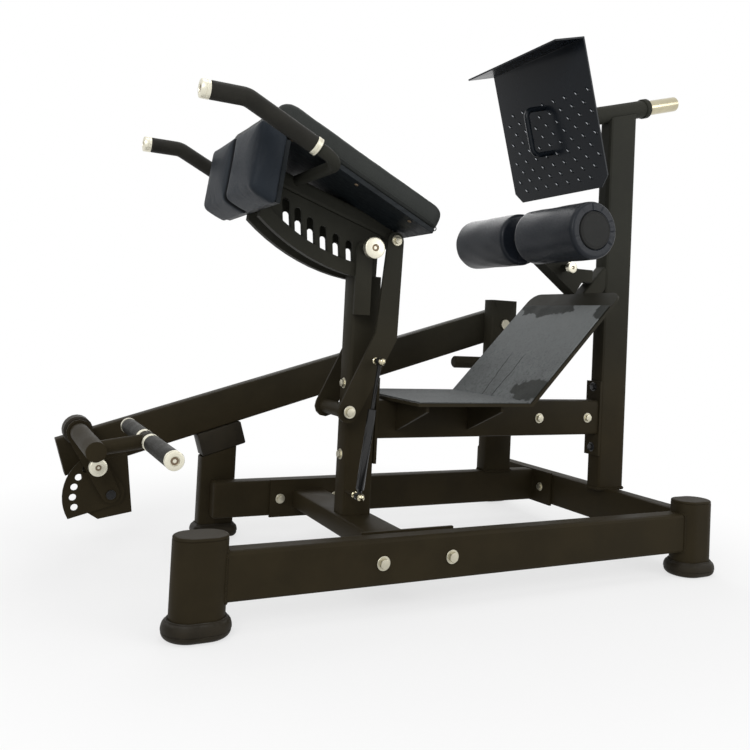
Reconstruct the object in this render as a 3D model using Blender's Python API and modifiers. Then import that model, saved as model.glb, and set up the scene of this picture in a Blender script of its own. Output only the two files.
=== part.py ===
"""Hyperextension bench with a pull lever, a foot plate, ankle rollers and a sliding back plate.

Metres, +Z up. The origin is on the floor under the middle of the front left foot.
X runs along the front rail towards the tall column, and Y runs away from the near side.
Every piece is one object, and each moving group hangs from an empty on its joint's axis.
"""
import math

import bmesh
import bpy
from mathutils import Matrix, Vector

# Clearances and stock shared by the whole frame
GAP = 0.0003
RUNNING_FIT = 0.0006
PIN_FIT = 0.001
TUBE_TALL = 0.100
TUBE_WIDE = 0.050
TUBE_WALL = 0.003
TUBE_CORNER = 0.008
FLANGE = 0.008
SHEET = 0.008
ROUND_STEPS = 20
OVAL_STEPS = 5

# Base
BASE_LENGTH = 1.317
BENCH_Y = 0.327
RAIL_BOTTOM = 0.063
RAIL_TOP = RAIL_BOTTOM + TUBE_TALL
POST_LENGTH = 0.110
POST_WIDTH = 0.080
POST_TOP = 0.195
POST_CAP = 0.005
FOOT_TOP = 0.052
FOOT_SEAT = 0.028
FOOT_LIP = 0.005
FOOT_FLARE = 0.016
FOOT_EDGE = 0.012
REAR_RAIL_Y = 0.654
REAR_RAIL_START = 0.205
REAR_RIGHT_POST_Y = 0.920
REAR_LEFT_POST_X = 0.222
REAR_FLANGE_LOW = 0.540
REAR_FLANGE_HIGH = 0.770
CROSS_X = 0.4745
CROSS_TALL = 0.050
CROSS_TOP = 0.135
CROSS_FLANGE_WIDTH = 0.233
CROSS_FLANGE_TALL = 0.105

# Columns and the beam between them
PAD_COLUMN_X = 0.475
PAD_COLUMN_LENGTH = 0.080
PAD_COLUMN_WIDTH = 0.060
PAD_COLUMN_TOP = 0.740
BEAM_TOP = 0.425
BEAM_FLANGE_LOW = 0.262
BEAM_FLANGE_HIGH = 0.482
LEVER_POST_X = 1.140
LEVER_POST_TOP = 0.720
PEG_Z = 0.513
PEG_RADIUS = 0.019
PEG_LENGTH = 0.125

# Foot plate, its strut and its rubber mat
PLATE_LOW_Y = 0.132
PLATE_HIGH_Y = 0.522
PLATE_START_X = 0.545
PLATE_FOLD_FROM_COLUMN = 0.435
PLATE_FOLD_X = BASE_LENGTH - PLATE_FOLD_FROM_COLUMN
PLATE_SLOPE = math.radians(46.5)
PLATE_SLANT = 0.423
PLATE_CORNER = 0.035
MAT_THICKNESS = 0.003
MAT_INSET = 0.006
MAT_SHORT = 0.055
GUSSET_FROM_START = 0.035
GUSSET_FROM_FOLD = 0.082
GUSSET_XS = (PLATE_START_X + GUSSET_FROM_START, PLATE_FOLD_X - GUSSET_FROM_FOLD)
GUSSET_DEPTH = 0.080
GUSSET_MARGIN = 0.015
STRUT_SIZE = 0.050

# Sliding back plate at the top of the column
SLIDE_TILT = math.radians(16)
SLIDE_HEIGHT = 1.306
SLIDE_RADIUS = 0.0225
SLIDE_WALL = 0.003
SLEEVE_RADIUS = 0.0265
SLEEVE_LEFT = 0.1425
SLEEVE_RIGHT = 0.110
COLLAR_RADIUS = 0.030
COLLAR_LENGTH = 0.014
BACK_PLATE_AWAY = 0.286
BACK_PLATE_SHEET = 0.005
BACK_PLATE_WIDTH = 0.413
BACK_PLATE_UP = 0.1926
BACK_PLATE_DOWN = 0.2111
BACK_PLATE_CORNER = 0.030
BACK_FLANGE = 0.096
SLIDE_RIGHT = 0.233
PULL_BAR_RADIUS = 0.007
PULL_BAR_OUT = 0.075
PULL_BAR_LOW = -0.084
PULL_BAR_HIGH = 0.047
PULL_BAR_BEND = 0.022

# Ankle rollers
ROLLER_FROM_COLUMN = 0.322
ROLLER_X = BASE_LENGTH - ROLLER_FROM_COLUMN
ROLLER_Z = 0.887
ROLLER_TILT = math.radians(35)
ROLLER_RADIUS = 0.076
ROLLER_LENGTH = 0.252
ROLLER_ROUND = 0.008
ROLLER_SPACE = 0.056
ROLLER_DISC = 0.048
ROLLER_AXLE = 0.0125
ROLLER_AXLE_FIT = 0.0004
ROLLER_END = 0.012
ROLLER_ARM_TALL = 0.056
ROLLER_ARM_WIDE = 0.038
ROLLER_ARM_BACK = 0.160
SOCKET_START = 0.060
SOCKET_END = 0.215
SOCKET_WALL = 0.0045
SOCKET_BRACE_LOW = 0.775
SOCKET_BRACE_TALL = 0.037
ROLLER_PIN_AT = 0.135
ROLLER_PIN_RADIUS = 0.005
ROLLER_PIN_BOSS = 0.011
ROLLER_PIN_BOSS_OUT = 0.020
ROLLER_PIN_KNOB = 0.016
ROLLER_PIN_KNOB_LENGTH = 0.022

# Pad linkage and gas spring
AXLE_RADIUS = 0.018
PIVOT_RADIUS = 0.008
PIVOT_HEAD = 0.014
PIVOT_HEAD_TALL = 0.006
LINK_PIVOT_Z = 0.400
LINK_INNER = 0.0686
LINK_THICK = 0.008
LINK_KNEE = (0.5115, 0.590)
LINK_WIDTHS = (0.056, 0.062, 0.044)
PAD_PIVOT = (0.526, 0.832)
LINK_SWING = math.radians(30)
LINK_STEPS = 6
PAD_RATIO = -5 / 6
GAS_Y = 0.225
GAS_LOW = (0.443, 0.197)
GAS_HIGH = (0.483, 0.527)
GAS_RADIUS = 0.0105
GAS_BODY_END = 0.213
GAS_ROD_RADIUS = 0.005
GAS_ROD_INSIDE = 0.055
GAS_STUD = 0.004
GAS_EYE = 0.0100
GAS_EYE_WIDE = 0.012
GAS_EYE_PLAY = 0.0024

# Pad carriage
PAD_SLOPE = math.radians(26.1)
HIP_CORNER = (0.5645, 0.8402)
HIP_LENGTH = 0.472
HIP_THICK = 0.071
HIP_BOARD = 0.012
BOARD_INSET = 0.006
PAD_LOW_Y = 0.121
PAD_HIGH_Y = 0.533
PAD_ROUND = 0.020
CHEST_TOP_BACK = (0.178, 1.023)
CHEST_TILT = math.radians(7.2)
CHEST_HEIGHT = 0.162
CHEST_THICK = 0.070
CHEST_ROUND = 0.012
CHEST_SEAM = 0.003
CHEST_BOARD = 0.012
BEAM_SLOPE = math.radians(18.8)
BEAM_LINE_START = (0.222, 0.936)
PAD_BEAM_WIDE = 0.100
PAD_BEAM_TALL = 0.040
PAD_BEAM_RIGHT = 0.548
NOTCH_Y = 0.0430
NOTCH_THICK = 0.008
NOTCH_RIGHT = 0.497
NOTCH_WIDTH = 0.019
NOTCH_LEAN = math.radians(-5)
NOTCH_TOP = 0.0095
NOTCH_TOP_STEP = 0.002
NOTCH_DEEP = 0.080
ARC_RADIUS = 0.4746
ARC_BOTTOM_X = 0.513
ARC_BOTTOM_Z = 0.7614
ARC_CENTRE = (ARC_BOTTOM_X, ARC_BOTTOM_Z + ARC_RADIUS)
ARC_TALL = 0.034
ARC_THICK = 0.020
ARC_RIGHT = 0.476
ARC_FACETS = 16
ARC_LEFT_MOST = 0.95
PIN_POINT = (0.446, 0.804)
PIN_RADIUS = 0.006
PIN_TRAVEL = 0.014
PIN_KNOB_RADIUS = 0.0265
PIN_KNOB_LENGTH = 0.024
PIN_BOSS_RADIUS = 0.013
PIN_BOSS_LENGTH = 0.020
PIN_PLATE_WIDTH = 0.044
PIN_PLATE_LOW = 0.640
PIN_FOOT_TOP = 0.690

# Pad handles
HANDLE_RADIUS = 0.014
HANDLE_SIDE_Y = 0.028
HANDLE_TIP = (-0.045, 1.065)
HANDLE_BEND = (0.052, 1.064)
HANDLE_CROSS = (0.266, 0.957)
HANDLE_TURN = 0.045
GRIP_RADIUS = 0.0195
GRIP_PAST_BEND = 0.169
GRIP_TIP = 0.010

# Pull lever
LEVER_PIVOT_Z = 0.641
LEVER_TILT = math.radians(16.97)
LEVER_LEFT = 1.398
LEVER_RIGHT = 0.050
LEVER_BOLT = 0.010
LEVER_BOLT_HEAD = 0.016
LEVER_BOLT_HEAD_TALL = 0.008
SIDE_CLEAR = 0.003
SADDLE_FROM_PIVOT = 0.980
SADDLE_LENGTH = 0.127
SADDLE_TALL = 0.065
SADDLE_WIDE = 0.060
BRACKET_FRONT_Y = 0.6195
BRACKET_OUTLINE = ((-0.131, 0.102), (-0.105, 0.085), (-0.021, 0.099), (-0.040, 0.250), (-0.150, 0.222))
BRACKET_WALL = 0.005

# Hand bar on the lever
HAND_PIVOT = (-0.079, 0.150)
HAND_REST = math.radians(62)
HAND_STEP = math.radians(16.3)
HAND_STOPS = 6
HOLE_RADIUS_AT = 0.091
HOLE_RADIUS = 0.009
HOLE_PLATE_RADIUS = 0.116
HOLE_PLATE_THICK = 0.008
HOLE_PLATE_EDGE = math.radians(11)
ARM_REACH = 0.1825
ARM_THICK = 0.009
ARM_WIDTH = 0.045
ARM_CLEAR = 0.001
CROSS_BAR_RADIUS = 0.0225
CROSS_BAR_NEAR_Y = 0.280
HUB_RADIUS = 0.036
HUB_LENGTH = 0.055
STEM_RADIUS = 0.017
T_BAR_POINT = (-0.047, 0.3275)
T_BAR_RADIUS = 0.014
T_BAR_LOW_Y = 0.050
T_BAR_HIGH_Y = 0.592
T_GRIP_RADIUS = 0.0195
T_GRIP_SPACE = 0.060
T_GRIP_TIP = 0.006
HAND_BOLT = 0.006
POP_RADIUS = 0.007
POP_TRAVEL = 0.008
POP_BOSS_RADIUS = 0.012
POP_BOSS_LENGTH = 0.024
POP_KNOB_RADIUS = 0.022
POP_KNOB_LENGTH = 0.030


# Collections, materials and the empties of the moving groups
def clear_scene():
    for item in list(bpy.data.objects):
        bpy.data.objects.remove(item)


def new_collection(name):
    group = bpy.data.collections.new(name)
    bpy.context.scene.collection.children.link(group)
    return group


clear_scene()
PARTS = new_collection("hyperextension_bench")
CUTTERS = new_collection("cutters")

FINISHES = {
    "frame_paint": ((0.026, 0.024, 0.021), 0.45, 0.3),
    "rubber_foot": ((0.018, 0.018, 0.018), 0.85, 0.0),
    "rubber_mat": ((0.090, 0.095, 0.100), 0.80, 0.0),
    "hip_vinyl": ((0.048, 0.050, 0.052), 0.50, 0.0),
    "chest_vinyl": ((0.120, 0.135, 0.165), 0.50, 0.0),
    "roller_vinyl": ((0.030, 0.036, 0.052), 0.45, 0.0),
    "board": ((0.015, 0.018, 0.030), 0.60, 0.0),
    "grip": ((0.035, 0.035, 0.037), 0.75, 0.0),
    "chrome": ((0.800, 0.800, 0.790), 0.15, 1.0),
    "knob_aluminium": ((0.830, 0.820, 0.780), 0.30, 1.0),
    "tread_plate": ((0.022, 0.026, 0.036), 0.35, 0.5),
    "gas_black": ((0.016, 0.016, 0.017), 0.30, 0.2),
}


def finish_for(name, finish):
    """One Principled material for each object."""
    colour, roughness, metallic = FINISHES[finish]
    material = bpy.data.materials.new(name + "_" + finish)
    material.use_nodes = True
    shader = material.node_tree.nodes["Principled BSDF"]
    shader.inputs["Base Color"].default_value = (*colour, 1.0)
    shader.inputs["Roughness"].default_value = roughness
    shader.inputs["Metallic"].default_value = metallic
    return material


GROUPS = {}


def add_group(name, point, parent=None):
    """An empty on a joint's axis, which carries a moving group."""
    empty = bpy.data.objects.new(name + "_axis", None)
    PARTS.objects.link(empty)
    empty.location = Vector(point)
    GROUPS[name] = (empty, Vector(point))
    if parent:
        carrier, carrier_point = GROUPS[parent]
        empty.parent = carrier
        empty.matrix_parent_inverse = Matrix.Translation(-carrier_point)


def keep(item, finish, group=None):
    """Give a finished piece its material and the group that it moves with."""
    item.data.materials.clear()
    item.data.materials.append(finish_for(item.name, finish))
    if group:
        carrier, point = GROUPS[group]
        item.parent = carrier
        item.matrix_parent_inverse = Matrix.Translation(-point)
    return item


# Shapes
def link_mesh(name, mesh, matrix=None, smooth=True):
    item = bpy.data.objects.new(name, mesh)
    PARTS.objects.link(item)
    if matrix is not None:
        item.matrix_world = matrix
    if smooth:
        mesh.shade_smooth()
        mesh.set_sharp_from_angle(angle=math.radians(35))
    return item


def axes(origin, across, up):
    """Matrix with local X across, local Y up and local Z square to both."""
    x = Vector(across).normalized()
    y = Vector(up)
    y = (y - x * x.dot(y)).normalized()
    matrix = Matrix((x, y, x.cross(y))).transposed().to_4x4()
    matrix.translation = Vector(origin)
    return matrix


def curve_to_mesh(item):
    """Replace a curve by its mesh, with the caps welded."""
    bpy.context.view_layer.update()
    evaluated = item.evaluated_get(bpy.context.evaluated_depsgraph_get())
    mesh = bpy.data.meshes.new_from_object(evaluated)
    shape = bmesh.new()
    shape.from_mesh(mesh)
    bmesh.ops.remove_doubles(shape, verts=shape.verts, dist=0.00001)
    bmesh.ops.recalc_face_normals(shape, faces=shape.faces)
    shape.to_mesh(mesh)
    shape.free()
    name, matrix = item.name, item.matrix_world.copy()
    bpy.data.objects.remove(item)
    return link_mesh(name, mesh, matrix)


def prism(name, outlines, depth, matrix):
    """A flat outline, with any holes, given a thickness both ways from its plane."""
    curve = bpy.data.curves.new(name, "CURVE")
    curve.dimensions = "2D"
    curve.fill_mode = "BOTH"
    curve.extrude = depth / 2
    for outline in outlines:
        spline = curve.splines.new("POLY")
        spline.points.add(len(outline) - 1)
        for point, (x, y) in zip(spline.points, outline):
            point.co = (x, y, 0, 1)
        spline.use_cyclic_u = True
    item = bpy.data.objects.new(name, curve)
    PARTS.objects.link(item)
    item.matrix_world = matrix
    return curve_to_mesh(item)


def side_plate(name, outlines, low_y, high_y):
    """A plate whose outline is in X and Z, between two Y planes."""
    middle = (0, (low_y + high_y) / 2, 0)
    return prism(name, outlines, high_y - low_y, axes(middle, (1, 0, 0), (0, 0, 1)))


def box(name, low, high, bevel=0.0, matrix=None):
    """A box between two corners, in the world or in a frame of its own."""
    mesh = bpy.data.meshes.new(name)
    shape = bmesh.new()
    bmesh.ops.create_cube(shape, size=1)
    size = Vector(high) - Vector(low)
    bmesh.ops.scale(shape, vec=size, verts=shape.verts)
    bmesh.ops.translate(shape, vec=(Vector(high) + Vector(low)) / 2, verts=shape.verts)
    shape.to_mesh(mesh)
    shape.free()
    item = link_mesh(name, mesh, matrix, smooth=False)
    if bevel:
        round_edges(item, bevel)
    return item


def round_edges(item, width, segments=2):
    bevel = item.modifiers.new("rounded_edges", "BEVEL")
    bevel.width = width
    bevel.segments = segments
    bevel.limit_method = "ANGLE"
    bevel.angle_limit = math.radians(40)
    return item


def turned(name, profile, origin, along, steps=ROUND_STEPS):
    """A profile of (radius, distance) pairs turned about an axis, its outer side in rising distance."""
    mesh = bpy.data.meshes.new(name)
    points = [(radius, 0, distance) for radius, distance in reversed(profile)]
    edges = [(index, index + 1) for index in range(len(points) - 1)]
    if profile[0] == profile[-1]:
        points.pop()
        edges[-1] = (len(points) - 1, 0)
    mesh.from_pydata(points, edges, [])
    item = link_mesh(name, mesh, smooth=False)
    direction = Vector(along).normalized()
    item.matrix_world = Matrix.Translation(Vector(origin)) @ direction.to_track_quat("Z", "Y").to_matrix().to_4x4()
    screw = item.modifiers.new("turned", "SCREW")
    screw.steps = steps
    screw.render_steps = steps
    screw.use_merge_vertices = True
    screw.merge_threshold = 0.00005
    screw.use_smooth_shade = True
    return item


def rod(name, radius, start, end, steps=ROUND_STEPS):
    """A plain round bar between two points."""
    span = Vector(end) - Vector(start)
    return turned(name, ((0, 0), (radius, 0), (radius, span.length), (0, span.length)), start, span, steps)


def bent_bar(name, points, radius, resolution=2):
    """A round bar along a path of points."""
    curve = bpy.data.curves.new(name, "CURVE")
    curve.dimensions = "3D"
    curve.bevel_depth = radius
    curve.bevel_resolution = resolution
    curve.use_fill_caps = True
    spline = curve.splines.new("POLY")
    spline.points.add(len(points) - 1)
    for point, place in zip(spline.points, points):
        point.co = (*place, 1)
    item = bpy.data.objects.new(name, curve)
    PARTS.objects.link(item)
    return curve_to_mesh(item)


def set_aside(item):
    """Make a piece a hidden cutter or filler."""
    if item.name in PARTS.objects:
        PARTS.objects.unlink(item)
        CUTTERS.objects.link(item)
    item.hide_render = True
    item.display_type = "WIRE"


def combine(item, other, operation):
    step = item.modifiers.new(operation.lower() + "_" + other.name, "BOOLEAN")
    step.operation = operation
    step.object = other
    set_aside(other)


def cut(item, *cutters):
    for cutter in cutters:
        combine(item, cutter, "DIFFERENCE")
    return item


def weld(item, *others):
    for other in others:
        combine(item, other, "UNION")
    return item


# Outlines
def arc(centre, radius, start, end, steps):
    """Points on an arc, with angles in radians from +X towards +Y."""
    turn = (end - start) / steps
    return [(centre[0] + radius * math.cos(start + turn * step), centre[1] + radius * math.sin(start + turn * step))
            for step in range(steps + 1)]


def circle(centre, radius, steps=ROUND_STEPS):
    return arc(centre, radius, 0, math.tau, steps)[:-1]


def rounded_rectangle(width, height, radius, steps=2, centre=(0, 0)):
    points = []
    for corner, (side, rise) in enumerate(((1, 1), (-1, 1), (-1, -1), (1, -1))):
        middle = (centre[0] + side * (width / 2 - radius), centre[1] + rise * (height / 2 - radius))
        start = corner * math.pi / 2
        points += arc(middle, radius, start, start + math.pi / 2, steps)
    return points


def grown(size, margin):
    return size + 2 * margin


def rounded_path(points, radius, steps=4):
    """A path whose inner corners are turned with an arc."""
    corners = [Vector(point) for point in points]
    path = [corners[0]]
    for before, corner, after in zip(corners, corners[1:], corners[2:]):
        into = (corner - before).normalized()
        out = (after - corner).normalized()
        angle = into.angle(out)
        reach = radius * math.tan(angle / 2)
        centre = corner + (out - into).normalized() * radius / math.cos(angle / 2)
        start = corner - into * reach - centre
        spin = into.cross(out).normalized()
        for step in range(steps + 1):
            path.append(centre + Matrix.Rotation(angle * step / steps, 3, spin) @ start)
    return path + [corners[-1]]


def line_height(start, slope, x):
    """Height at x of a line that falls to the right by the slope angle from a start point."""
    return start[1] - (x - start[0]) * math.tan(slope)


def strap(points, widths, steps=6):
    """Outline of a bar along a path, with its own width at each point and round ends."""
    spots = [Vector(point) for point in points]
    runs = [(after - before).normalized() for before, after in zip(spots, spots[1:])]
    bends = [(before + after).normalized() for before, after in zip(runs, runs[1:])]
    middles = list(zip(spots[1:-1], bends, widths[1:-1]))
    right = [(spot.x + run.y * width / 2, spot.y - run.x * width / 2) for spot, run, width in middles]
    left = [(spot.x - run.y * width / 2, spot.y + run.x * width / 2) for spot, run, width in middles]
    first = math.atan2(runs[0].y, runs[0].x)
    last = math.atan2(runs[-1].y, runs[-1].x)
    start_cap = arc(spots[0], widths[0] / 2, first + math.pi / 2, first + 1.5 * math.pi, steps)
    end_cap = arc(spots[-1], widths[-1] / 2, last - math.pi / 2, last + math.pi / 2, steps)
    return start_cap + right + end_cap + left[::-1]


def inset(points, distance):
    """A convex outline, given anticlockwise, moved inwards by a distance."""
    corners = [Vector(point) for point in points]
    moved = []
    for before, corner, after in zip(corners[-1:] + corners[:-1], corners, corners[1:] + corners[:1]):
        into = (corner - before).normalized()
        out = (after - corner).normalized()
        inward = Vector((-into.y - out.y, into.x + out.x)).normalized()
        moved.append(corner + inward * distance / math.cos(into.angle(out) / 2))
    return moved


def bore_radius(radius, fit=RUNNING_FIT):
    """Radius of a faceted bore that clears a shaft at every angle."""
    return (radius + fit) / math.cos(math.pi / ROUND_STEPS)


def bore(name, radius, point, low_y, high_y, fit=RUNNING_FIT):
    """A cutter along Y for a shaft at an (x, z) point."""
    return rod(name, bore_radius(radius, fit), (point[0], low_y, point[1]), (point[0], high_y, point[1]))


def tube(name, start, end, across, width, height, wall=TUBE_WALL, corner=TUBE_CORNER):
    """A rectangular tube from start to end, with its width along across; solid where wall is 0."""
    start = Vector(start)
    end = Vector(end)
    across = Vector(across)
    outlines = [rounded_rectangle(width, height, corner)]
    if wall:
        outlines.append(rounded_rectangle(width - 2 * wall, height - 2 * wall, corner - wall))
    matrix = axes((start + end) / 2, across, (end - start).cross(across))
    return prism(name, outlines, (end - start).length, matrix)


# Places that several pieces share
RAIL_MIDDLE = RAIL_BOTTOM + TUBE_TALL / 2
RAIL_HALF = TUBE_WIDE / 2
LEVER_Y = REAR_RAIL_Y + TUBE_WIDE + SIDE_CLEAR
REAR_LEFT_POST_Y = REAR_RAIL_Y + TUBE_WIDE + GAP
LEVER_POINT = Vector((LEVER_POST_X, LEVER_Y, LEVER_PIVOT_Z))
LEVER_FRAME = axes(LEVER_POINT, (-math.cos(LEVER_TILT), 0, -math.sin(LEVER_TILT)), (0, -1, 0))
COLUMN_LEFT = BASE_LENGTH - TUBE_TALL / 2
PAD_COLUMN_LEFT = PAD_COLUMN_X - PAD_COLUMN_LENGTH / 2
PAD_COLUMN_RIGHT = PAD_COLUMN_X + PAD_COLUMN_LENGTH / 2
PAD_COLUMN_NEAR = BENCH_Y - PAD_COLUMN_WIDTH / 2
PLATE_TOP = BEAM_TOP + GAP + SHEET
PLATE_FRAME = axes((PLATE_FOLD_X, BENCH_Y, PLATE_TOP), (math.cos(PLATE_SLOPE), 0, math.sin(PLATE_SLOPE)), (0, 1, 0))
STRUT_FACE = SHEET + GAP
SLIDE_WAY = Vector((math.cos(SLIDE_TILT), 0, math.sin(SLIDE_TILT)))
SLIDE_CENTRE = Vector((BASE_LENGTH, BENCH_Y, SLIDE_HEIGHT))
SLIDE_FRAME = axes(SLIDE_CENTRE, SLIDE_WAY, (0, 1, 0))
ROLLER_FRAME = axes((ROLLER_X, BENCH_Y, ROLLER_Z), (math.cos(ROLLER_TILT), 0, -math.sin(ROLLER_TILT)), (0, 1, 0))
LINK_PIVOT = (PAD_COLUMN_LEFT - AXLE_RADIUS - GAP, LINK_PIVOT_Z)
LINK_NEAR_Y = BENCH_Y - LINK_INNER
LINK_FAR_Y = BENCH_Y + LINK_INNER
NOTCH_NEAR_FACE = BENCH_Y - NOTCH_Y - NOTCH_THICK / 2
ARC_NEAR_FACE = BENCH_Y - NOTCH_Y - ARC_THICK / 2
PIN_PLATE_FAR = ARC_NEAR_FACE - SIDE_CLEAR
PIN_PLATE_NEAR = PIN_PLATE_FAR - SHEET
PIN_BOSS_END = PIN_PLATE_NEAR - PIN_BOSS_LENGTH
HIP_FRAME = axes((HIP_CORNER[0], BENCH_Y, HIP_CORNER[1]), (-math.cos(PAD_SLOPE), 0, math.sin(PAD_SLOPE)), (0, -1, 0))
CHEST_UP = Vector((math.sin(CHEST_TILT), math.cos(CHEST_TILT)))
CHEST_FRAME = axes((CHEST_TOP_BACK[0], BENCH_Y, CHEST_TOP_BACK[1]),
                   (math.cos(CHEST_TILT), 0, -math.sin(CHEST_TILT)), (0, 1, 0))
PAD_BEAM_FRAME = axes((BEAM_LINE_START[0], BENCH_Y, BEAM_LINE_START[1]),
                      (math.cos(BEAM_SLOPE), 0, -math.sin(BEAM_SLOPE)), (0, 1, 0))
GAS_START = Vector((GAS_LOW[0], GAS_Y, GAS_LOW[1]))
GAS_END = Vector((GAS_HIGH[0], GAS_Y, GAS_HIGH[1]))
GAS_STUD_START = GAS_Y - GAS_EYE_WIDE / 2 - PIN_FIT - LINK_THICK / 2
HOLE_PLATE_FAR = BRACKET_FRONT_Y - GAP
HOLE_PLATE_NEAR = HOLE_PLATE_FAR - HOLE_PLATE_THICK
ARM_FAR = HOLE_PLATE_NEAR - ARM_CLEAR
ARM_NEAR = ARM_FAR - ARM_THICK
POP_BOSS_END = ARM_NEAR - POP_BOSS_LENGTH


def hand_point(radius, turned_by=0.0):
    """(x, z) at a radius from the hand bar's pivot, along the arm at rest or turned down from it."""
    angle = HAND_REST - turned_by
    return (HAND_PIVOT[0] - radius * math.cos(angle), HAND_PIVOT[1] + radius * math.sin(angle))


def pin_path(step):
    """Where the pad pin stands in the carriage when the links have swung by a number of steps."""
    swing = LINK_SWING * step / LINK_STEPS
    pivot = Vector(LINK_PIVOT)
    tilt = swing * (1 + PAD_RATIO)
    carriage = pivot + Matrix.Rotation(-swing, 2) @ (Vector(PAD_PIVOT) - pivot)
    return Vector(PAD_PIVOT) + Matrix.Rotation(tilt, 2) @ (Vector(PIN_POINT) - carriage)


CROSS_BAR = hand_point(ARM_REACH)
POP_POINT = hand_point(HOLE_RADIUS_AT)

add_group("links", (LINK_PIVOT[0], BENCH_Y, LINK_PIVOT[1]))
add_group("carriage", (PAD_PIVOT[0], BENCH_Y, PAD_PIVOT[1]), "links")
add_group("gas_body", GAS_START)
add_group("gas_piston", GAS_START, "gas_body")
add_group("pad_pin", (PIN_POINT[0], PIN_PLATE_NEAR, PIN_POINT[1]))
add_group("lever", LEVER_POINT)
add_group("hand_bar", (HAND_PIVOT[0], ARM_NEAR, HAND_PIVOT[1]), "lever")
add_group("pop_pin", (POP_POINT[0], ARM_NEAR, POP_POINT[1]), "hand_bar")
add_group("roller_mount", (ROLLER_X, BENCH_Y, ROLLER_Z))
add_group("near_roller", (ROLLER_X, BENCH_Y, ROLLER_Z), "roller_mount")
add_group("far_roller", (ROLLER_X, BENCH_Y, ROLLER_Z), "roller_mount")
add_group("roller_pin", ROLLER_FRAME @ Vector((ROLLER_PIN_AT, 0, 0)))
add_group("back_plate", SLIDE_CENTRE)


# Base
def flared_foot(name, x, y, length, width, corner, steps):
    """A rubber foot: rings that flare to the floor, with a seat for the post."""
    rings = ((0, FOOT_FLARE), (FOOT_EDGE, FOOT_FLARE), (FOOT_TOP - FOOT_EDGE, FOOT_LIP), (FOOT_TOP, FOOT_LIP))
    shape = bmesh.new()
    rows = []
    for height, margin in rings:
        outline = rounded_rectangle(grown(length, margin), grown(width, margin), corner + margin, steps, (x, y))
        rows.append([shape.verts.new((px, py, height)) for px, py in outline])
    for low, high in zip(rows, rows[1:]):
        for index in range(len(low)):
            after = (index + 1) % len(low)
            shape.faces.new((low[index], low[after], high[after], high[index]))
    shape.faces.new(rows[0][::-1])
    shape.faces.new(rows[-1])
    mesh = bpy.data.meshes.new(name)
    shape.to_mesh(mesh)
    shape.free()
    foot = link_mesh(name, mesh)
    middle = (x, y, FOOT_SEAT - GAP + FOOT_TOP / 2)
    outline = rounded_rectangle(grown(length, GAP), grown(width, GAP), corner + GAP, steps)
    cut(foot, prism(name + "_seat", [outline], FOOT_TOP, axes(middle, (1, 0, 0), (0, 1, 0))))
    return keep(foot, "rubber_foot")


def upright(name, x, y, low, high, length, width, corner, steps=2, cap=0.0):
    """An upright tube, closed on top where it has a cap."""
    middle = (low + high) / 2
    outer = rounded_rectangle(length, width, corner, steps)
    inner = rounded_rectangle(grown(length, -TUBE_WALL), grown(width, -TUBE_WALL), corner - TUBE_WALL, steps)
    if not cap:
        return prism(name, [outer, inner], high - low, axes((x, y, middle), (1, 0, 0), (0, 1, 0)))
    post = prism(name, [outer], high - low, axes((x, y, middle), (1, 0, 0), (0, 1, 0)))
    hollow = prism(name + "_hollow", [inner], high - low, axes((x, y, middle - cap), (1, 0, 0), (0, 1, 0)))
    return cut(post, hollow)


def oval_post(name, x, y):
    post = upright(name, x, y, FOOT_SEAT, POST_TOP, POST_LENGTH, POST_WIDTH, POST_WIDTH / 2 - GAP, OVAL_STEPS, POST_CAP)
    return keep(post, "frame_paint")


def oval_clearance(name, x, y):
    """What a rail end loses so that it meets an oval post."""
    outline = rounded_rectangle(grown(POST_LENGTH, GAP), grown(POST_WIDTH, GAP), POST_WIDTH / 2, OVAL_STEPS)
    return prism(name, [outline], 2 * POST_TOP, axes((x, y, POST_TOP), (1, 0, 0), (0, 1, 0)))


def make_base():
    corners = {"near_left": (0, 0), "near_right": (BASE_LENGTH, 0), "rear_right": (BASE_LENGTH, REAR_RIGHT_POST_Y)}
    clear = {}
    for place, (x, y) in corners.items():
        oval_post(place + "_post", x, y)
        flared_foot(place + "_foot", x, y, POST_LENGTH, POST_WIDTH, POST_WIDTH / 2 - GAP, OVAL_STEPS)
        clear[place] = oval_clearance(place + "_clearance", x, y)

    near = tube("near_rail", (0, 0, RAIL_MIDDLE), (BASE_LENGTH, 0, RAIL_MIDDLE), (0, 1, 0), TUBE_WIDE, TUBE_TALL)
    keep(cut(near, clear["near_left"], clear["near_right"]), "frame_paint")
    start = (BASE_LENGTH, 0, RAIL_MIDDLE)
    end = (BASE_LENGTH, REAR_RIGHT_POST_Y, RAIL_MIDDLE)
    right = tube("right_cross_rail", start, end, (1, 0, 0), TUBE_WIDE, TUBE_TALL)
    keep(cut(right, clear["near_right"], clear["rear_right"]), "frame_paint")

    flared_foot("rear_left_foot", REAR_LEFT_POST_X, REAR_LEFT_POST_Y, TUBE_TALL, TUBE_WIDE, TUBE_CORNER, 2)
    post = upright("rear_left_post", REAR_LEFT_POST_X, REAR_LEFT_POST_Y, FOOT_SEAT, LEVER_PIVOT_Z,
                   TUBE_TALL, TUBE_WIDE, TUBE_CORNER)
    under = TUBE_TALL / 2 + SADDLE_TALL + 2 * GAP
    above = box("saddle_clearance", (0, -TUBE_TALL, -under), (LEVER_LEFT, TUBE_TALL, LEVER_LEFT), matrix=LEVER_FRAME)
    keep(cut(post, above), "frame_paint")

    make_rear_rail()
    make_cross_tube()


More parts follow.
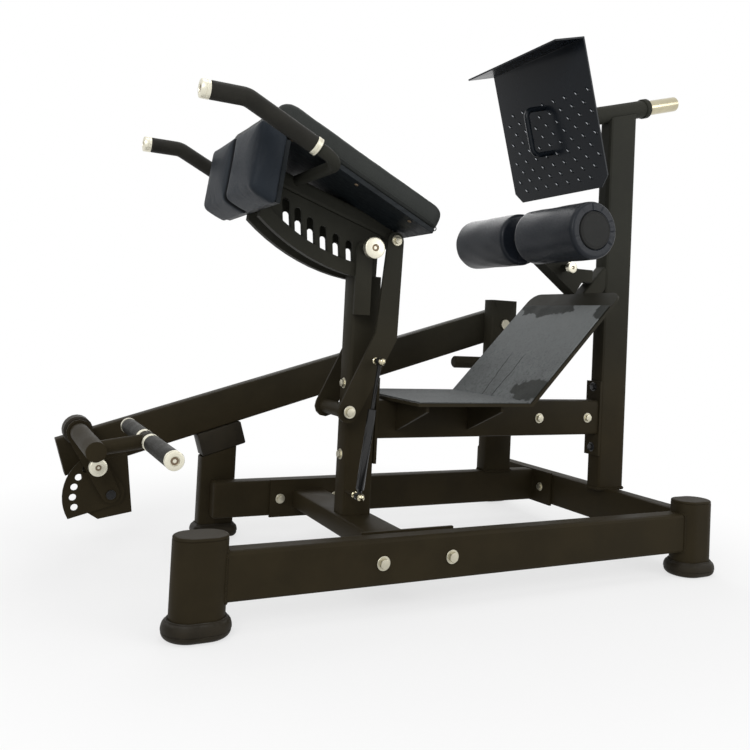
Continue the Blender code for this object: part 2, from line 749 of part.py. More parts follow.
def make_rear_rail():
    """The rear rail is closed on the left and bolted through a plate on the right."""
    face = BASE_LENGTH - RAIL_HALF - GAP
    rail = tube("rear_rail", (REAR_RAIL_START, REAR_RAIL_Y, RAIL_MIDDLE), (face - GAP, REAR_RAIL_Y, RAIL_MIDDLE),
                (0, 1, 0), TUBE_WIDE, TUBE_TALL, wall=0)
    low = (face - FLANGE, REAR_FLANGE_LOW, RAIL_MIDDLE - CROSS_FLANGE_TALL / 2)
    high = (face, REAR_FLANGE_HIGH, RAIL_MIDDLE + CROSS_FLANGE_TALL / 2)
    weld(rail, box("rear_rail_plate", low, high))
    hollow = tube("rear_rail_hollow", (REAR_RAIL_START + TUBE_WALL, REAR_RAIL_Y, RAIL_MIDDLE),
                  (BASE_LENGTH, REAR_RAIL_Y, RAIL_MIDDLE), (0, 1, 0),
                  grown(TUBE_WIDE, -TUBE_WALL), grown(TUBE_TALL, -TUBE_WALL), 0, TUBE_CORNER - TUBE_WALL)
    keep(cut(rail, hollow), "frame_paint")


def make_cross_tube():
    """The low tube that carries the pad column, with a bolting plate at each rail."""
    near = RAIL_HALF + GAP
    far = REAR_RAIL_Y - RAIL_HALF - GAP
    middle = CROSS_TOP - CROSS_TALL / 2
    cross = tube("left_cross_tube", (CROSS_X, near + GAP, middle), (CROSS_X, far - GAP, middle),
                 (1, 0, 0), TUBE_TALL, CROSS_TALL, wall=0)
    half = CROSS_FLANGE_WIDTH / 2
    low = RAIL_MIDDLE - CROSS_FLANGE_TALL / 2
    high = RAIL_MIDDLE + CROSS_FLANGE_TALL / 2
    weld(cross, box("cross_plate_near", (CROSS_X - half, near, low), (CROSS_X + half, near + FLANGE, high)),
         box("cross_plate_far", (CROSS_X - half, far - FLANGE, low), (CROSS_X + half, far, high)))
    hollow = tube("cross_hollow", (CROSS_X, 0, middle), (CROSS_X, REAR_RAIL_Y, middle), (1, 0, 0),
                  grown(TUBE_TALL, -TUBE_WALL), grown(CROSS_TALL, -TUBE_WALL), 0, TUBE_CORNER - TUBE_WALL)
    keep(cut(cross, hollow), "frame_paint")


# Columns, beam and storage peg
def make_columns():
    pad_column = upright("pad_column", PAD_COLUMN_X, BENCH_Y, CROSS_TOP + GAP, PAD_COLUMN_TOP,
                         PAD_COLUMN_LENGTH, PAD_COLUMN_WIDTH, TUBE_CORNER, 2, POST_CAP)
    weld(pad_column, eye_stud("gas_lower_stud", GAS_LOW, GAS_STUD_START, PAD_COLUMN_NEAR + TUBE_WALL / 2))
    keep(pad_column, "frame_paint")

    tall = upright("tall_column", BASE_LENGTH, BENCH_Y, RAIL_TOP + GAP, SLIDE_HEIGHT + TUBE_WIDE,
                   TUBE_TALL, TUBE_WIDE, TUBE_CORNER)
    reach = TUBE_TALL
    above = box("column_slope", (-reach, -reach, -SLEEVE_RADIUS / 2), (reach, reach, reach), matrix=SLIDE_FRAME)
    radius = bore_radius(SLEEVE_RADIUS, GAP)
    saddle = rod("column_saddle", radius, SLIDE_CENTRE - SLIDE_WAY * reach, SLIDE_CENTRE + SLIDE_WAY * reach, 32)
    keep(cut(tall, above, saddle), "frame_paint")

    left = PAD_COLUMN_RIGHT + GAP
    right = COLUMN_LEFT - GAP
    middle = BEAM_TOP - TUBE_TALL / 2
    beam = tube("mid_beam", (left + GAP, BENCH_Y, middle), (right - GAP, BENCH_Y, middle),
                (0, 1, 0), TUBE_WIDE, TUBE_TALL, wall=0)
    wide = PAD_COLUMN_WIDTH / 2
    weld(beam, box("beam_plate_left", (left, BENCH_Y - wide, BEAM_FLANGE_LOW),
                   (left + FLANGE, BENCH_Y + wide, BEAM_FLANGE_HIGH)),
         box("beam_plate_right", (right - FLANGE, BENCH_Y - wide, BEAM_FLANGE_LOW),
             (right, BENCH_Y + wide, BEAM_FLANGE_HIGH)))
    hollow = tube("beam_hollow", (PAD_COLUMN_X, BENCH_Y, middle), (BASE_LENGTH, BENCH_Y, middle), (0, 1, 0),
                  grown(TUBE_WIDE, -TUBE_WALL), grown(TUBE_TALL, -TUBE_WALL), 0, TUBE_CORNER - TUBE_WALL)
    keep(cut(beam, hollow), "frame_paint")

    post = upright("lever_post", LEVER_POST_X, REAR_RAIL_Y, RAIL_TOP + GAP, LEVER_POST_TOP,
                   TUBE_TALL, TUBE_WIDE, TUBE_CORNER, 2, POST_CAP)
    hole = bore("post_bolt_hole", LEVER_BOLT, (LEVER_POST_X, LEVER_PIVOT_Z), REAR_RAIL_Y - TUBE_WIDE, LEVER_Y)
    keep(cut(post, hole), "frame_paint")

    face = LEVER_POST_X - TUBE_TALL / 2 - GAP
    profile = ((0, 0), (PEG_RADIUS, 0), (PEG_RADIUS, PEG_LENGTH - FOOT_LIP),
               (PEG_RADIUS - FOOT_LIP, PEG_LENGTH), (0, PEG_LENGTH))
    keep(turned("storage_peg", profile, (face, REAR_RAIL_Y, PEG_Z), (-1, 0, 0)), "frame_paint")


# Foot plate
def make_foot_plate():
    plate_middle = (PLATE_LOW_Y + PLATE_HIGH_Y) / 2 - BENCH_Y
    half = (PLATE_HIGH_Y - PLATE_LOW_Y) / 2
    bend = SHEET * math.tan(PLATE_SLOPE / 2)
    under = BEAM_TOP + GAP
    plate = box("foot_plate", (PLATE_START_X, PLATE_LOW_Y, under), (PLATE_FOLD_X + bend, PLATE_HIGH_Y, PLATE_TOP))
    top = PLATE_SLANT - PLATE_CORNER
    outline = [(-SHEET / 4, plate_middle - half)]
    outline += arc((top, plate_middle - half + PLATE_CORNER), PLATE_CORNER, -math.pi / 2, 0, 4)
    outline += arc((top, plate_middle + half - PLATE_CORNER), PLATE_CORNER, 0, math.pi / 2, 4)
    outline += [(-SHEET / 4, plate_middle + half)]
    slant = prism("foot_plate_slant", [outline], SHEET, PLATE_FRAME @ Matrix.Translation((0, 0, -SHEET / 2)))
    weld(plate, slant)
    for number, x in enumerate(GUSSET_XS):
        for side, edge in ((-1, PLATE_LOW_Y + GUSSET_MARGIN), (1, PLATE_HIGH_Y - GUSSET_MARGIN)):
            root = BENCH_Y + side * (RAIL_HALF + GAP)
            ribs = [(edge, under + SHEET / 4), (root, under + SHEET / 4), (root, under - GUSSET_DEPTH),
                    (edge, under - GUSSET_MARGIN)]
            matrix = axes((x, 0, 0), (0, 1, 0), (0, 0, 1))
            weld(plate, prism("gusset_%d_%d" % (number, side + 1), [ribs], SHEET, matrix))
    keep(plate, "frame_paint")

    low = PLATE_START_X + MAT_INSET
    high = PLATE_SLANT - MAT_SHORT
    profile = []
    for lift in (GAP, GAP + MAT_THICKNESS):
        end = PLATE_FRAME @ Vector((high, 0, lift))
        row = [(low, PLATE_TOP + lift), (PLATE_FOLD_X - lift * math.tan(PLATE_SLOPE / 2), PLATE_TOP + lift),
               (end.x, end.z)]
        profile += row if not profile else row[::-1]
    mat = side_plate("foot_mat", [profile], PLATE_LOW_Y + MAT_INSET, PLATE_HIGH_Y - MAT_INSET)
    keep(mat, "rubber_mat")

    reach = (BASE_LENGTH - PLATE_FOLD_X) / math.cos(PLATE_SLOPE)
    strut = tube("plate_strut", PLATE_FRAME @ Vector((-STRUT_SIZE, 0, -STRUT_FACE - STRUT_SIZE / 2)),
                 PLATE_FRAME @ Vector((reach, 0, -STRUT_FACE - STRUT_SIZE / 2)),
                 (0, 1, 0), STRUT_SIZE, STRUT_SIZE)
    side = TUBE_TALL
    floor = box("strut_foot", (0, 0, 0), (BASE_LENGTH, 2 * BENCH_Y, BEAM_TOP + GAP))
    wall = box("strut_head", (COLUMN_LEFT - GAP, 0, 0), (BASE_LENGTH + side, 2 * BENCH_Y, SLIDE_HEIGHT))
    keep(cut(strut, floor, wall), "frame_paint")


# Sliding back plate
def make_back_plate():
    bore_size = SLIDE_RADIUS + RUNNING_FIT
    profile = ((SLEEVE_RADIUS, -SLEEVE_LEFT), (SLEEVE_RADIUS, SLEEVE_RIGHT - COLLAR_LENGTH),
               (COLLAR_RADIUS, SLEEVE_RIGHT - COLLAR_LENGTH), (COLLAR_RADIUS, SLEEVE_RIGHT),
               (bore_size, SLEEVE_RIGHT), (bore_size, -SLEEVE_LEFT), (SLEEVE_RADIUS, -SLEEVE_LEFT))
    keep(turned("slide_sleeve", profile, SLIDE_CENTRE, SLIDE_WAY, 32), "frame_paint")

    start = BACK_PLATE_SHEET + GAP - BACK_PLATE_AWAY
    inner = SLIDE_RADIUS - SLIDE_WALL
    closed_end = SLIDE_RIGHT - SLIDE_WALL
    profile = ((0, closed_end), (inner, closed_end), (inner, start), (SLIDE_RADIUS, start),
               (SLIDE_RADIUS, SLIDE_RIGHT), (0, SLIDE_RIGHT))
    keep(turned("slide_tube", profile, SLIDE_CENTRE, SLIDE_WAY, 32), "chrome", "back_plate")

    plate_frame = SLIDE_FRAME @ Matrix.Translation((-BACK_PLATE_AWAY, 0, 0))
    edge = BACK_PLATE_UP - BACK_PLATE_SHEET
    outline = [(0, -BACK_PLATE_DOWN), (BACK_PLATE_SHEET, -BACK_PLATE_DOWN), (BACK_PLATE_SHEET, BACK_PLATE_UP),
               (-BACK_FLANGE, BACK_PLATE_UP), (-BACK_FLANGE, edge), (0, edge)]
    flat = plate_frame @ axes((0, 0, 0), (1, 0, 0), (0, 0, 1))
    plate = prism("back_plate", [outline], BACK_PLATE_WIDTH, flat)
    for side in (-1, 1):
        corner = (side * BACK_PLATE_WIDTH / 2, -BACK_PLATE_DOWN)
        over = side * BACK_PLATE_CORNER
        triangle = [(corner[0] - over, corner[1] - GAP), (corner[0] + over, corner[1] - GAP),
                    (corner[0] + over, corner[1] + 2 * BACK_PLATE_CORNER)]
        face = plate_frame @ axes((0, 0, 0), (0, 1, 0), (0, 0, 1))
        cut(plate, prism("plate_corner_%d" % (side + 1), [triangle], BACK_PLATE_CORNER, face))
    keep(plate, "tread_plate", "back_plate")

    route = [(-GAP, 0, PULL_BAR_LOW), (-PULL_BAR_OUT, 0, PULL_BAR_LOW),
             (-PULL_BAR_OUT, 0, PULL_BAR_HIGH), (-GAP, 0, PULL_BAR_HIGH)]
    places = [plate_frame @ Vector(point) for point in rounded_path(route, PULL_BAR_BEND)]
    keep(bent_bar("pull_bar", places, PULL_BAR_RADIUS), "frame_paint", "back_plate")


# Ankle rollers
def make_rollers():
    fit = RUNNING_FIT
    socket_wide = grown(ROLLER_ARM_WIDE, fit + SOCKET_WALL)
    socket_tall = grown(ROLLER_ARM_TALL, fit + SOCKET_WALL)
    half_wide = socket_wide / 2
    socket = box("roller_socket", (SOCKET_START, -half_wide, -socket_tall / 2),
                 (SOCKET_END, half_wide, socket_tall / 2), matrix=ROLLER_FRAME)
    brace_start = (ROLLER_FRAME @ Vector((SOCKET_END - ROLLER_ARM_TALL, 0, 0))).x
    brace = box("roller_brace", (brace_start, BENCH_Y - half_wide + fit, SOCKET_BRACE_LOW),
                (BASE_LENGTH, BENCH_Y + half_wide - fit, SOCKET_BRACE_LOW + SOCKET_BRACE_TALL))
    side = grown(STRUT_SIZE, GAP) / 2
    strut_middle = -STRUT_FACE - STRUT_SIZE / 2
    cut(brace, box("brace_end", (-STRUT_SIZE, -side, strut_middle - side),
                   (2 * PLATE_SLANT, side, strut_middle + side), matrix=PLATE_FRAME))
    cut(brace, box("brace_wall", (COLUMN_LEFT - STRUT_SIZE, 0, 0), (BASE_LENGTH + STRUT_SIZE, 1, SLIDE_HEIGHT)))
    pin_place = ROLLER_FRAME @ Vector((ROLLER_PIN_AT, 0, 0))
    pin_point = (pin_place.x, pin_place.z)
    face = BENCH_Y - half_wide
    boss = rod("roller_boss", ROLLER_PIN_BOSS, (pin_place.x, face - ROLLER_PIN_BOSS_OUT, pin_place.z),
               (pin_place.x, face + fit, pin_place.z))
    weld(socket, brace, boss)
    bore_wide = grown(ROLLER_ARM_WIDE, fit) / 2
    bore_tall = grown(ROLLER_ARM_TALL, fit) / 2
    cut(socket, box("socket_bore", (0, -bore_wide, -bore_tall), (SOCKET_END + fit, bore_wide, bore_tall),
                    matrix=ROLLER_FRAME),
        bore("roller_pin_hole", ROLLER_PIN_RADIUS, pin_point, face - ROLLER_ARM_WIDE, BENCH_Y))
    keep(socket, "frame_paint")

    arm = box("roller_arm", (-ROLLER_ARM_TALL / 2, -ROLLER_ARM_WIDE / 2, -ROLLER_ARM_TALL / 2),
              (ROLLER_ARM_BACK, ROLLER_ARM_WIDE / 2, ROLLER_ARM_TALL / 2), matrix=ROLLER_FRAME)
    hollow_wide = ROLLER_ARM_WIDE / 2 - TUBE_WALL
    hollow_tall = ROLLER_ARM_TALL / 2 - TUBE_WALL
    cut(arm, box("roller_arm_hollow", (-hollow_tall, -hollow_wide, -hollow_tall),
                 (SOCKET_END, hollow_wide, hollow_tall), matrix=ROLLER_FRAME))
    reach = ROLLER_SPACE / 2 + ROLLER_LENGTH - ROLLER_END - ROLLER_AXLE_FIT
    weld(arm, rod("roller_axle", ROLLER_AXLE, (ROLLER_X, BENCH_Y - reach, ROLLER_Z),
                  (ROLLER_X, BENCH_Y + reach, ROLLER_Z)))
    keep(arm, "frame_paint", "roller_mount")

    hole = bore_radius(ROLLER_AXLE, ROLLER_AXLE_FIT)
    profile = ((0, 0), (ROLLER_DISC, 0), (ROLLER_DISC, PULL_BAR_RADIUS / 2),
               (ROLLER_RADIUS - ROLLER_ROUND, PULL_BAR_RADIUS / 2), (ROLLER_RADIUS, ROLLER_ROUND),
               (ROLLER_RADIUS, ROLLER_LENGTH - ROLLER_ROUND), (ROLLER_RADIUS - ROLLER_ROUND, ROLLER_LENGTH),
               (hole, ROLLER_LENGTH), (hole, ROLLER_END), (0, ROLLER_END))
    end = ROLLER_SPACE / 2 + ROLLER_LENGTH
    for name, side in (("near_roller", -1), ("far_roller", 1)):
        roller = turned(name, profile, (ROLLER_X, BENCH_Y + side * end, ROLLER_Z), (0, -side, 0), 36)
        keep(roller, "roller_vinyl", name)

    knob_start = face - ROLLER_PIN_BOSS_OUT - PIN_FIT
    nose = BENCH_Y - ROLLER_ARM_WIDE / 2 - PIN_FIT
    pull_pin("roller_pin", pin_point, nose, knob_start, ROLLER_PIN_RADIUS, ROLLER_PIN_KNOB, ROLLER_PIN_KNOB_LENGTH)


def pull_pin(name, point, nose, knob_start, radius, knob_radius, knob_length):
    """A pin along Y with a round knob on the near side; its nose points away from the viewer."""
    shaft = nose - knob_start
    whole = shaft + knob_length
    edge = knob_length / 8
    profile = ((0, 0), (radius, 0), (radius, shaft), (knob_radius - edge, shaft), (knob_radius, shaft + edge),
               (knob_radius, whole - edge), (knob_radius - edge, whole), (0, whole))
    pin = turned(name, profile, (point[0], nose, point[1]), (0, -1, 0))
    return keep(pin, "knob_aluminium", name)


# Pad linkage, its gas spring and its pin
def make_links():
    inner_near = LINK_NEAR_Y + GAP
    inner_far = LINK_FAR_Y - GAP
    width = inner_far - inner_near
    shoulder = LINK_THICK + 2 * GAP
    head = shoulder + PIVOT_HEAD_TALL
    profile = ((0, -head), (PIVOT_HEAD, -head), (PIVOT_HEAD, -shoulder), (PIVOT_RADIUS, -shoulder),
               (PIVOT_RADIUS, 0), (AXLE_RADIUS, 0), (AXLE_RADIUS, width), (PIVOT_RADIUS, width),
               (PIVOT_RADIUS, width + shoulder), (PIVOT_HEAD, width + shoulder), (PIVOT_HEAD, width + head),
               (0, width + head))
    keep(turned("link_axle", profile, (LINK_PIVOT[0], inner_near, LINK_PIVOT[1]), (0, 1, 0)), "frame_paint")
    slim = [(min(radius, PIVOT_RADIUS) if 0 <= distance <= width else radius, distance)
            for radius, distance in profile]
    bolt = turned("link_top_bolt", slim[:4] + slim[-4:], (PAD_PIVOT[0], inner_near, PAD_PIVOT[1]), (0, 1, 0))
    keep(bolt, "chrome", "links")

    outline = strap((LINK_PIVOT, LINK_KNEE, PAD_PIVOT), LINK_WIDTHS)
    holes = [circle(LINK_PIVOT, bore_radius(PIVOT_RADIUS)), circle(PAD_PIVOT, bore_radius(PIVOT_RADIUS))]
    near = side_plate("link_near", [outline] + holes, LINK_NEAR_Y - LINK_THICK, LINK_NEAR_Y)
    weld(near, eye_stud("gas_upper_stud", GAS_HIGH, GAS_STUD_START, LINK_NEAR_Y - LINK_THICK / 2))
    keep(near, "frame_paint", "links")
    far = side_plate("link_far", [outline] + holes, LINK_FAR_Y, LINK_FAR_Y + LINK_THICK)
    keep(far, "frame_paint", "links")


def eye_stud(name, point, start_y, end_y):
    """A stud along Y with a round head on the near side."""
    length = end_y - start_y
    head = LINK_THICK / 2
    profile = ((0, 0), (GAS_EYE, 0), (GAS_EYE, head), (GAS_STUD, head), (GAS_STUD, length), (0, length))
    return turned(name, profile, (point[0], start_y, point[1]), (0, 1, 0), 16)


def make_gas_spring():
    way = GAS_END - GAS_START
    length = way.length
    hole = GAS_ROD_RADIUS + RUNNING_FIT
    neck = GAS_EYE * 0.6
    body_start = GAS_EYE * 1.5
    profile = ((0, neck), (neck, neck), (neck, body_start), (GAS_RADIUS, body_start + GAS_STUD),
               (GAS_RADIUS, GAS_BODY_END), (hole, GAS_BODY_END), (hole, 2 * body_start), (0, 2 * body_start))
    body = turned("gas_cylinder", profile, GAS_START, way, 20)
    add_eye(body, GAS_LOW, RUNNING_FIT)
    keep(body, "gas_black", "gas_body")
    inside = GAS_BODY_END - GAS_ROD_INSIDE
    profile = ((0, inside), (GAS_ROD_RADIUS, inside), (GAS_ROD_RADIUS, length - neck), (0, length - neck))
    piston = turned("gas_rod", profile, GAS_START, way, 16)
    add_eye(piston, GAS_HIGH, GAS_EYE_PLAY)
    keep(piston, "gas_black", "gas_piston")


def add_eye(item, point, play):
    low = GAS_Y - GAS_EYE_WIDE / 2
    high = GAS_Y + GAS_EYE_WIDE / 2
    weld(item, rod(item.name + "_eye", GAS_EYE, (point[0], low, point[1]), (point[0], high, point[1])))
    cut(item, bore(item.name + "_hole", GAS_STUD, point, GAS_Y - GAS_EYE_WIDE, GAS_Y + GAS_EYE_WIDE, play))


def make_pad_pin():
    x, z = PIN_POINT
    half = PIN_PLATE_WIDTH / 2
    outline = [(x - half, PIN_PLATE_LOW), (x + half, PIN_PLATE_LOW)]
    outline += arc((x, z), half, 0, math.pi, 8)
    plate = side_plate("pin_bracket", [outline], PIN_PLATE_NEAR, PIN_PLATE_FAR)
    foot = box("pin_bracket_foot", (PAD_COLUMN_LEFT, PIN_PLATE_NEAR + GAP, PIN_PLATE_LOW + GAP),
               (x + half - GAP, PAD_COLUMN_NEAR - GAP, PIN_FOOT_TOP))
    boss = rod("pin_boss", PIN_BOSS_RADIUS, (x, PIN_BOSS_END, z), (x, PIN_PLATE_NEAR + GAP, z))
    weld(plate, foot, boss)
    cut(plate, bore("pad_pin_hole", PIN_RADIUS, PIN_POINT, PIN_BOSS_END - PIN_TRAVEL, PIN_PLATE_FAR + PIN_TRAVEL))
    keep(plate, "frame_paint")
    knob_start = PIN_BOSS_END - PIN_TRAVEL - PIN_FIT
    pull_pin("pad_pin", PIN_POINT, NOTCH_NEAR_FACE - PIN_FIT, knob_start, PIN_RADIUS, PIN_KNOB_RADIUS,
             PIN_KNOB_LENGTH)


# Pad carriage
def hip_trim(name):
    """A cutter that trims a piece to the underside of the hip board."""
    return box(name + "_hip_trim", (-HIP_LENGTH, -HIP_LENGTH, -GAP), (2 * HIP_LENGTH, HIP_LENGTH, HIP_LENGTH),
               matrix=HIP_FRAME)


def chest_trim(name):
    """A cutter that trims a piece to the hidden face of the chest board."""
    return box(name + "_chest_trim", (-HIP_LENGTH, -HIP_LENGTH, -HIP_LENGTH),
               (CHEST_BOARD + 2 * GAP, HIP_LENGTH, HIP_LENGTH), matrix=CHEST_FRAME)


def notch_cutter(name, step, y):
    """A slot with a round top that opens downwards onto the arc bar."""
    place = pin_path(step)
    lean = Vector((math.sin(NOTCH_LEAN), math.cos(NOTCH_LEAN)))
    top = place + lean * (NOTCH_TOP + NOTCH_TOP_STEP * step - NOTCH_WIDTH / 2)
    outline = strap((top - lean * NOTCH_DEEP, top), (NOTCH_WIDTH, NOTCH_WIDTH))
    return side_plate("%s_%d" % (name, step), [outline], y - NOTCH_THICK, y + NOTCH_THICK)


def make_carriage():
    beam = tube("pad_beam", PAD_BEAM_FRAME @ Vector((-HIP_THICK, 0, PAD_BEAM_TALL / 2 + GAP)),
                PAD_BEAM_FRAME @ Vector((PAD_BEAM_RIGHT - BEAM_LINE_START[0], 0, PAD_BEAM_TALL / 2 + GAP)),
                (0, 1, 0), PAD_BEAM_WIDE, PAD_BEAM_TALL)
    cut(beam, bore("beam_handle_gap", HANDLE_RADIUS, HANDLE_CROSS, BENCH_Y - PAD_BEAM_WIDE,
                   BENCH_Y + PAD_BEAM_WIDE, GAP))
    half = LINK_INNER - 2 * GAP
    weld(beam, rod("pad_pivot_tube", AXLE_RADIUS, (PAD_PIVOT[0], BENCH_Y - half, PAD_PIVOT[1]),
                   (PAD_PIVOT[0], BENCH_Y + half, PAD_PIVOT[1]), 24))
    cut(beam, bore("pad_pivot_bore", PIVOT_RADIUS, PAD_PIVOT, 0, 2 * BENCH_Y))
    keep(cut(beam, hip_trim("beam"), chest_trim("beam")), "frame_paint", "carriage")

    left_share = min((ARC_CENTRE[0] - HANDLE_BEND[0]) / (ARC_RADIUS + ARC_TALL), ARC_LEFT_MOST)
    left_angle = -math.pi / 2 - math.asin(left_share)
    right_angle = -math.pi / 2 - math.asin((ARC_CENTRE[0] - ARC_RIGHT) / ARC_RADIUS)
    under = arc(ARC_CENTRE, ARC_RADIUS + ARC_TALL / 2, left_angle, right_angle, ARC_FACETS)
    right_top = (NOTCH_RIGHT, line_height(BEAM_LINE_START, BEAM_SLOPE, NOTCH_RIGHT))
    left_top = (under[0][0], line_height(BEAM_LINE_START, BEAM_SLOPE, under[0][0]))
    arc_outline = arc(ARC_CENTRE, ARC_RADIUS, right_angle, left_angle, ARC_FACETS)
    arc_outline += arc(ARC_CENTRE, ARC_RADIUS + ARC_TALL, left_angle, right_angle, ARC_FACETS)
    for name, side in (("near", -1), ("far", 1)):
        y = BENCH_Y + side * NOTCH_Y
        plate = side_plate("notch_plate_" + name, [under + [right_top, left_top]],
                           y - NOTCH_THICK / 2, y + NOTCH_THICK / 2)
        cut(plate, *(notch_cutter(name + "_notch", step, y) for step in range(LINK_STEPS + 1)))
        weld(plate, side_plate("arc_bar_" + name, [arc_outline], y - ARC_THICK / 2, y + ARC_THICK / 2))
        keep(cut(plate, chest_trim(name)), "frame_paint", "carriage")
    make_pads()


def make_pads():
    low = PAD_LOW_Y - BENCH_Y
    high = PAD_HIGH_Y - BENCH_Y
    board = box("hip_board", (BOARD_INSET, low + BOARD_INSET, 0),
                (HIP_LENGTH - BOARD_INSET, high - BOARD_INSET, HIP_BOARD), matrix=HIP_FRAME)
    keep(board, "board", "carriage")
    pad = box("hip_pad", (0, low, HIP_BOARD + GAP), (HIP_LENGTH, high, HIP_THICK), PAD_ROUND, HIP_FRAME)
    pad.modifiers[-1].segments = 3
    keep(pad, "hip_vinyl", "carriage")

    board = box("chest_board", (GAP, low + 2 * BOARD_INSET, -CHEST_HEIGHT + 2 * BOARD_INSET),
                (CHEST_BOARD + GAP, high - 2 * BOARD_INSET, -BOARD_INSET), matrix=CHEST_FRAME)
    keep(board, "board", "carriage")
    back_top = Vector(CHEST_TOP_BACK)
    forward = Vector((-math.cos(PAD_SLOPE), math.sin(PAD_SLOPE))) * CHEST_THICK
    front_top = back_top + forward
    outline = [back_top, front_top, front_top - CHEST_UP * CHEST_HEIGHT, back_top - CHEST_UP * CHEST_HEIGHT]
    seam = CHEST_SEAM / 2
    for name, start, end in (("near", PAD_LOW_Y, BENCH_Y - seam), ("far", BENCH_Y + seam, PAD_HIGH_Y)):
        pad = side_plate("chest_pad_" + name, [outline], start, end)
        round_edges(pad, CHEST_ROUND)
        keep(pad, "chest_vinyl", "carriage")


def handle_route():
    """The pad handles are one bar: near grip, under the hip pad, far grip."""
    far_y = 2 * BENCH_Y - HANDLE_SIDE_Y
    near = [(x, HANDLE_SIDE_Y, z) for x, z in (HANDLE_TIP, HANDLE_BEND, HANDLE_CROSS)]
    far = [(x, far_y, z) for x, z in (HANDLE_CROSS, HANDLE_BEND, HANDLE_TIP)]
    return rounded_path(near + far, HANDLE_TURN)


def make_handles():
    route = handle_route()
    tip = Vector((GRIP_TIP, 0, 0))
    bar = bent_bar("pad_handle_bar", [route[0] + tip] + route[1:-1] + [route[-1] + tip], HANDLE_RADIUS, 4)
    keep(bar, "frame_paint", "carriage")
    bend = Vector(HANDLE_BEND)
    grip_end = bend + (Vector(HANDLE_CROSS) - bend).normalized() * GRIP_PAST_BEND
    far_y = 2 * BENCH_Y - HANDLE_SIDE_Y
    for name, y in (("near", HANDLE_SIDE_Y), ("far", far_y)):
        places = rounded_path([(x, y, z) for x, z in (HANDLE_TIP, bend, grip_end)], HANDLE_TURN)
        grip = bent_bar("pad_grip_" + name, places, GRIP_RADIUS, 4)
        past = places[-1] + (places[-1] - places[-2]).normalized() * GRIP_TIP
        inner = [places[0] + tip * 0.9] + places[1:-1] + [past]
        cut(grip, bent_bar("grip_bore_" + name, inner, bore_radius(HANDLE_RADIUS / math.cos(math.pi / 12), GAP), 4))
        keep(grip, "grip", "carriage")


# Pull lever
def make_lever():
    lever = tube("lever_tube", LEVER_FRAME @ Vector((-LEVER_RIGHT, 0, 0)), LEVER_FRAME @ Vector((LEVER_LEFT, 0, 0)),
                 (0, 1, 0), TUBE_WIDE, TUBE_TALL, wall=0)
    hollow = tube("lever_hollow", LEVER_FRAME @ Vector((-2 * LEVER_RIGHT, 0, 0)),
                  LEVER_FRAME @ Vector((LEVER_LEFT - TUBE_WALL, 0, 0)), (0, 1, 0),
                  grown(TUBE_WIDE, -TUBE_WALL), grown(TUBE_TALL, -TUBE_WALL), 0, TUBE_CORNER - TUBE_WALL)
    point = (LEVER_POST_X, LEVER_PIVOT_Z)
    cut(lever, hollow, bore("lever_bolt_hole", LEVER_BOLT, point, LEVER_Y - TUBE_WIDE, LEVER_Y + TUBE_WIDE))
    keep(lever, "frame_paint", "lever")

    start = REAR_RAIL_Y - TUBE_WIDE / 2 - GAP
    inner = LEVER_Y + TUBE_WIDE / 2 + GAP - start
    head = LEVER_BOLT_HEAD_TALL
    profile = ((0, -head), (LEVER_BOLT_HEAD, -head), (LEVER_BOLT_HEAD, 0), (LEVER_BOLT, 0), (LEVER_BOLT, inner),
               (LEVER_BOLT_HEAD, inner), (LEVER_BOLT_HEAD, inner + head), (0, inner + head))
    keep(turned("lever_pivot_bolt", profile, (point[0], start, point[1]), (0, 1, 0)), "chrome")

    top = -TUBE_TALL / 2 - GAP
    low = (SADDLE_FROM_PIVOT - SADDLE_LENGTH / 2, -SADDLE_WIDE / 2, top - SADDLE_TALL)
    high = (SADDLE_FROM_PIVOT + SADDLE_LENGTH / 2, SADDLE_WIDE / 2, top)
    keep(box("lever_saddle", low, high, GAS_STUD, LEVER_FRAME), "rubber_foot")

    side = LEVER_Y - TUBE_WIDE / 2 - GAP
    bracket = side_plate("lever_bracket", [BRACKET_OUTLINE], BRACKET_FRONT_Y, side)
    hollow = side_plate("bracket_hollow", [inset(BRACKET_OUTLINE, BRACKET_WALL)], BRACKET_FRONT_Y + BRACKET_WALL,
                        side + BRACKET_WALL)
    cut(bracket, hollow, bore("bracket_hole", HAND_BOLT, HAND_PIVOT, ARM_NEAR, side))
    keep(bracket, "frame_paint", "lever")

    low_turn = HAND_STEP * (HAND_STOPS - 1) + HOLE_PLATE_EDGE
    outline = arc(HAND_PIVOT, HOLE_PLATE_RADIUS, math.pi - HAND_REST - HOLE_PLATE_EDGE,
                  math.pi - HAND_REST + low_turn, 14)
    outline += arc(HAND_PIVOT, ARM_WIDTH * 0.8, -math.pi / 4, math.pi / 5, 3)
    holes = [circle(hand_point(HOLE_RADIUS_AT, HAND_STEP * stop), HOLE_RADIUS, 12) for stop in range(HAND_STOPS)]
    holes.append(circle(HAND_PIVOT, bore_radius(HAND_BOLT)))
    keep(side_plate("hole_plate", [outline] + holes, HOLE_PLATE_NEAR, HOLE_PLATE_FAR), "frame_paint", "lever")

    x, z = HAND_PIVOT
    head = ARM_NEAR - GAP
    end = BRACKET_FRONT_Y + 4 * BRACKET_WALL - head
    tall = PIVOT_HEAD_TALL
    profile = ((0, -tall), (2 * HAND_BOLT, -tall), (2 * HAND_BOLT, 0), (HAND_BOLT, 0), (HAND_BOLT, end), (0, end))
    keep(turned("hand_pivot_bolt", profile, (x, head, z), (0, 1, 0)), "chrome", "lever")


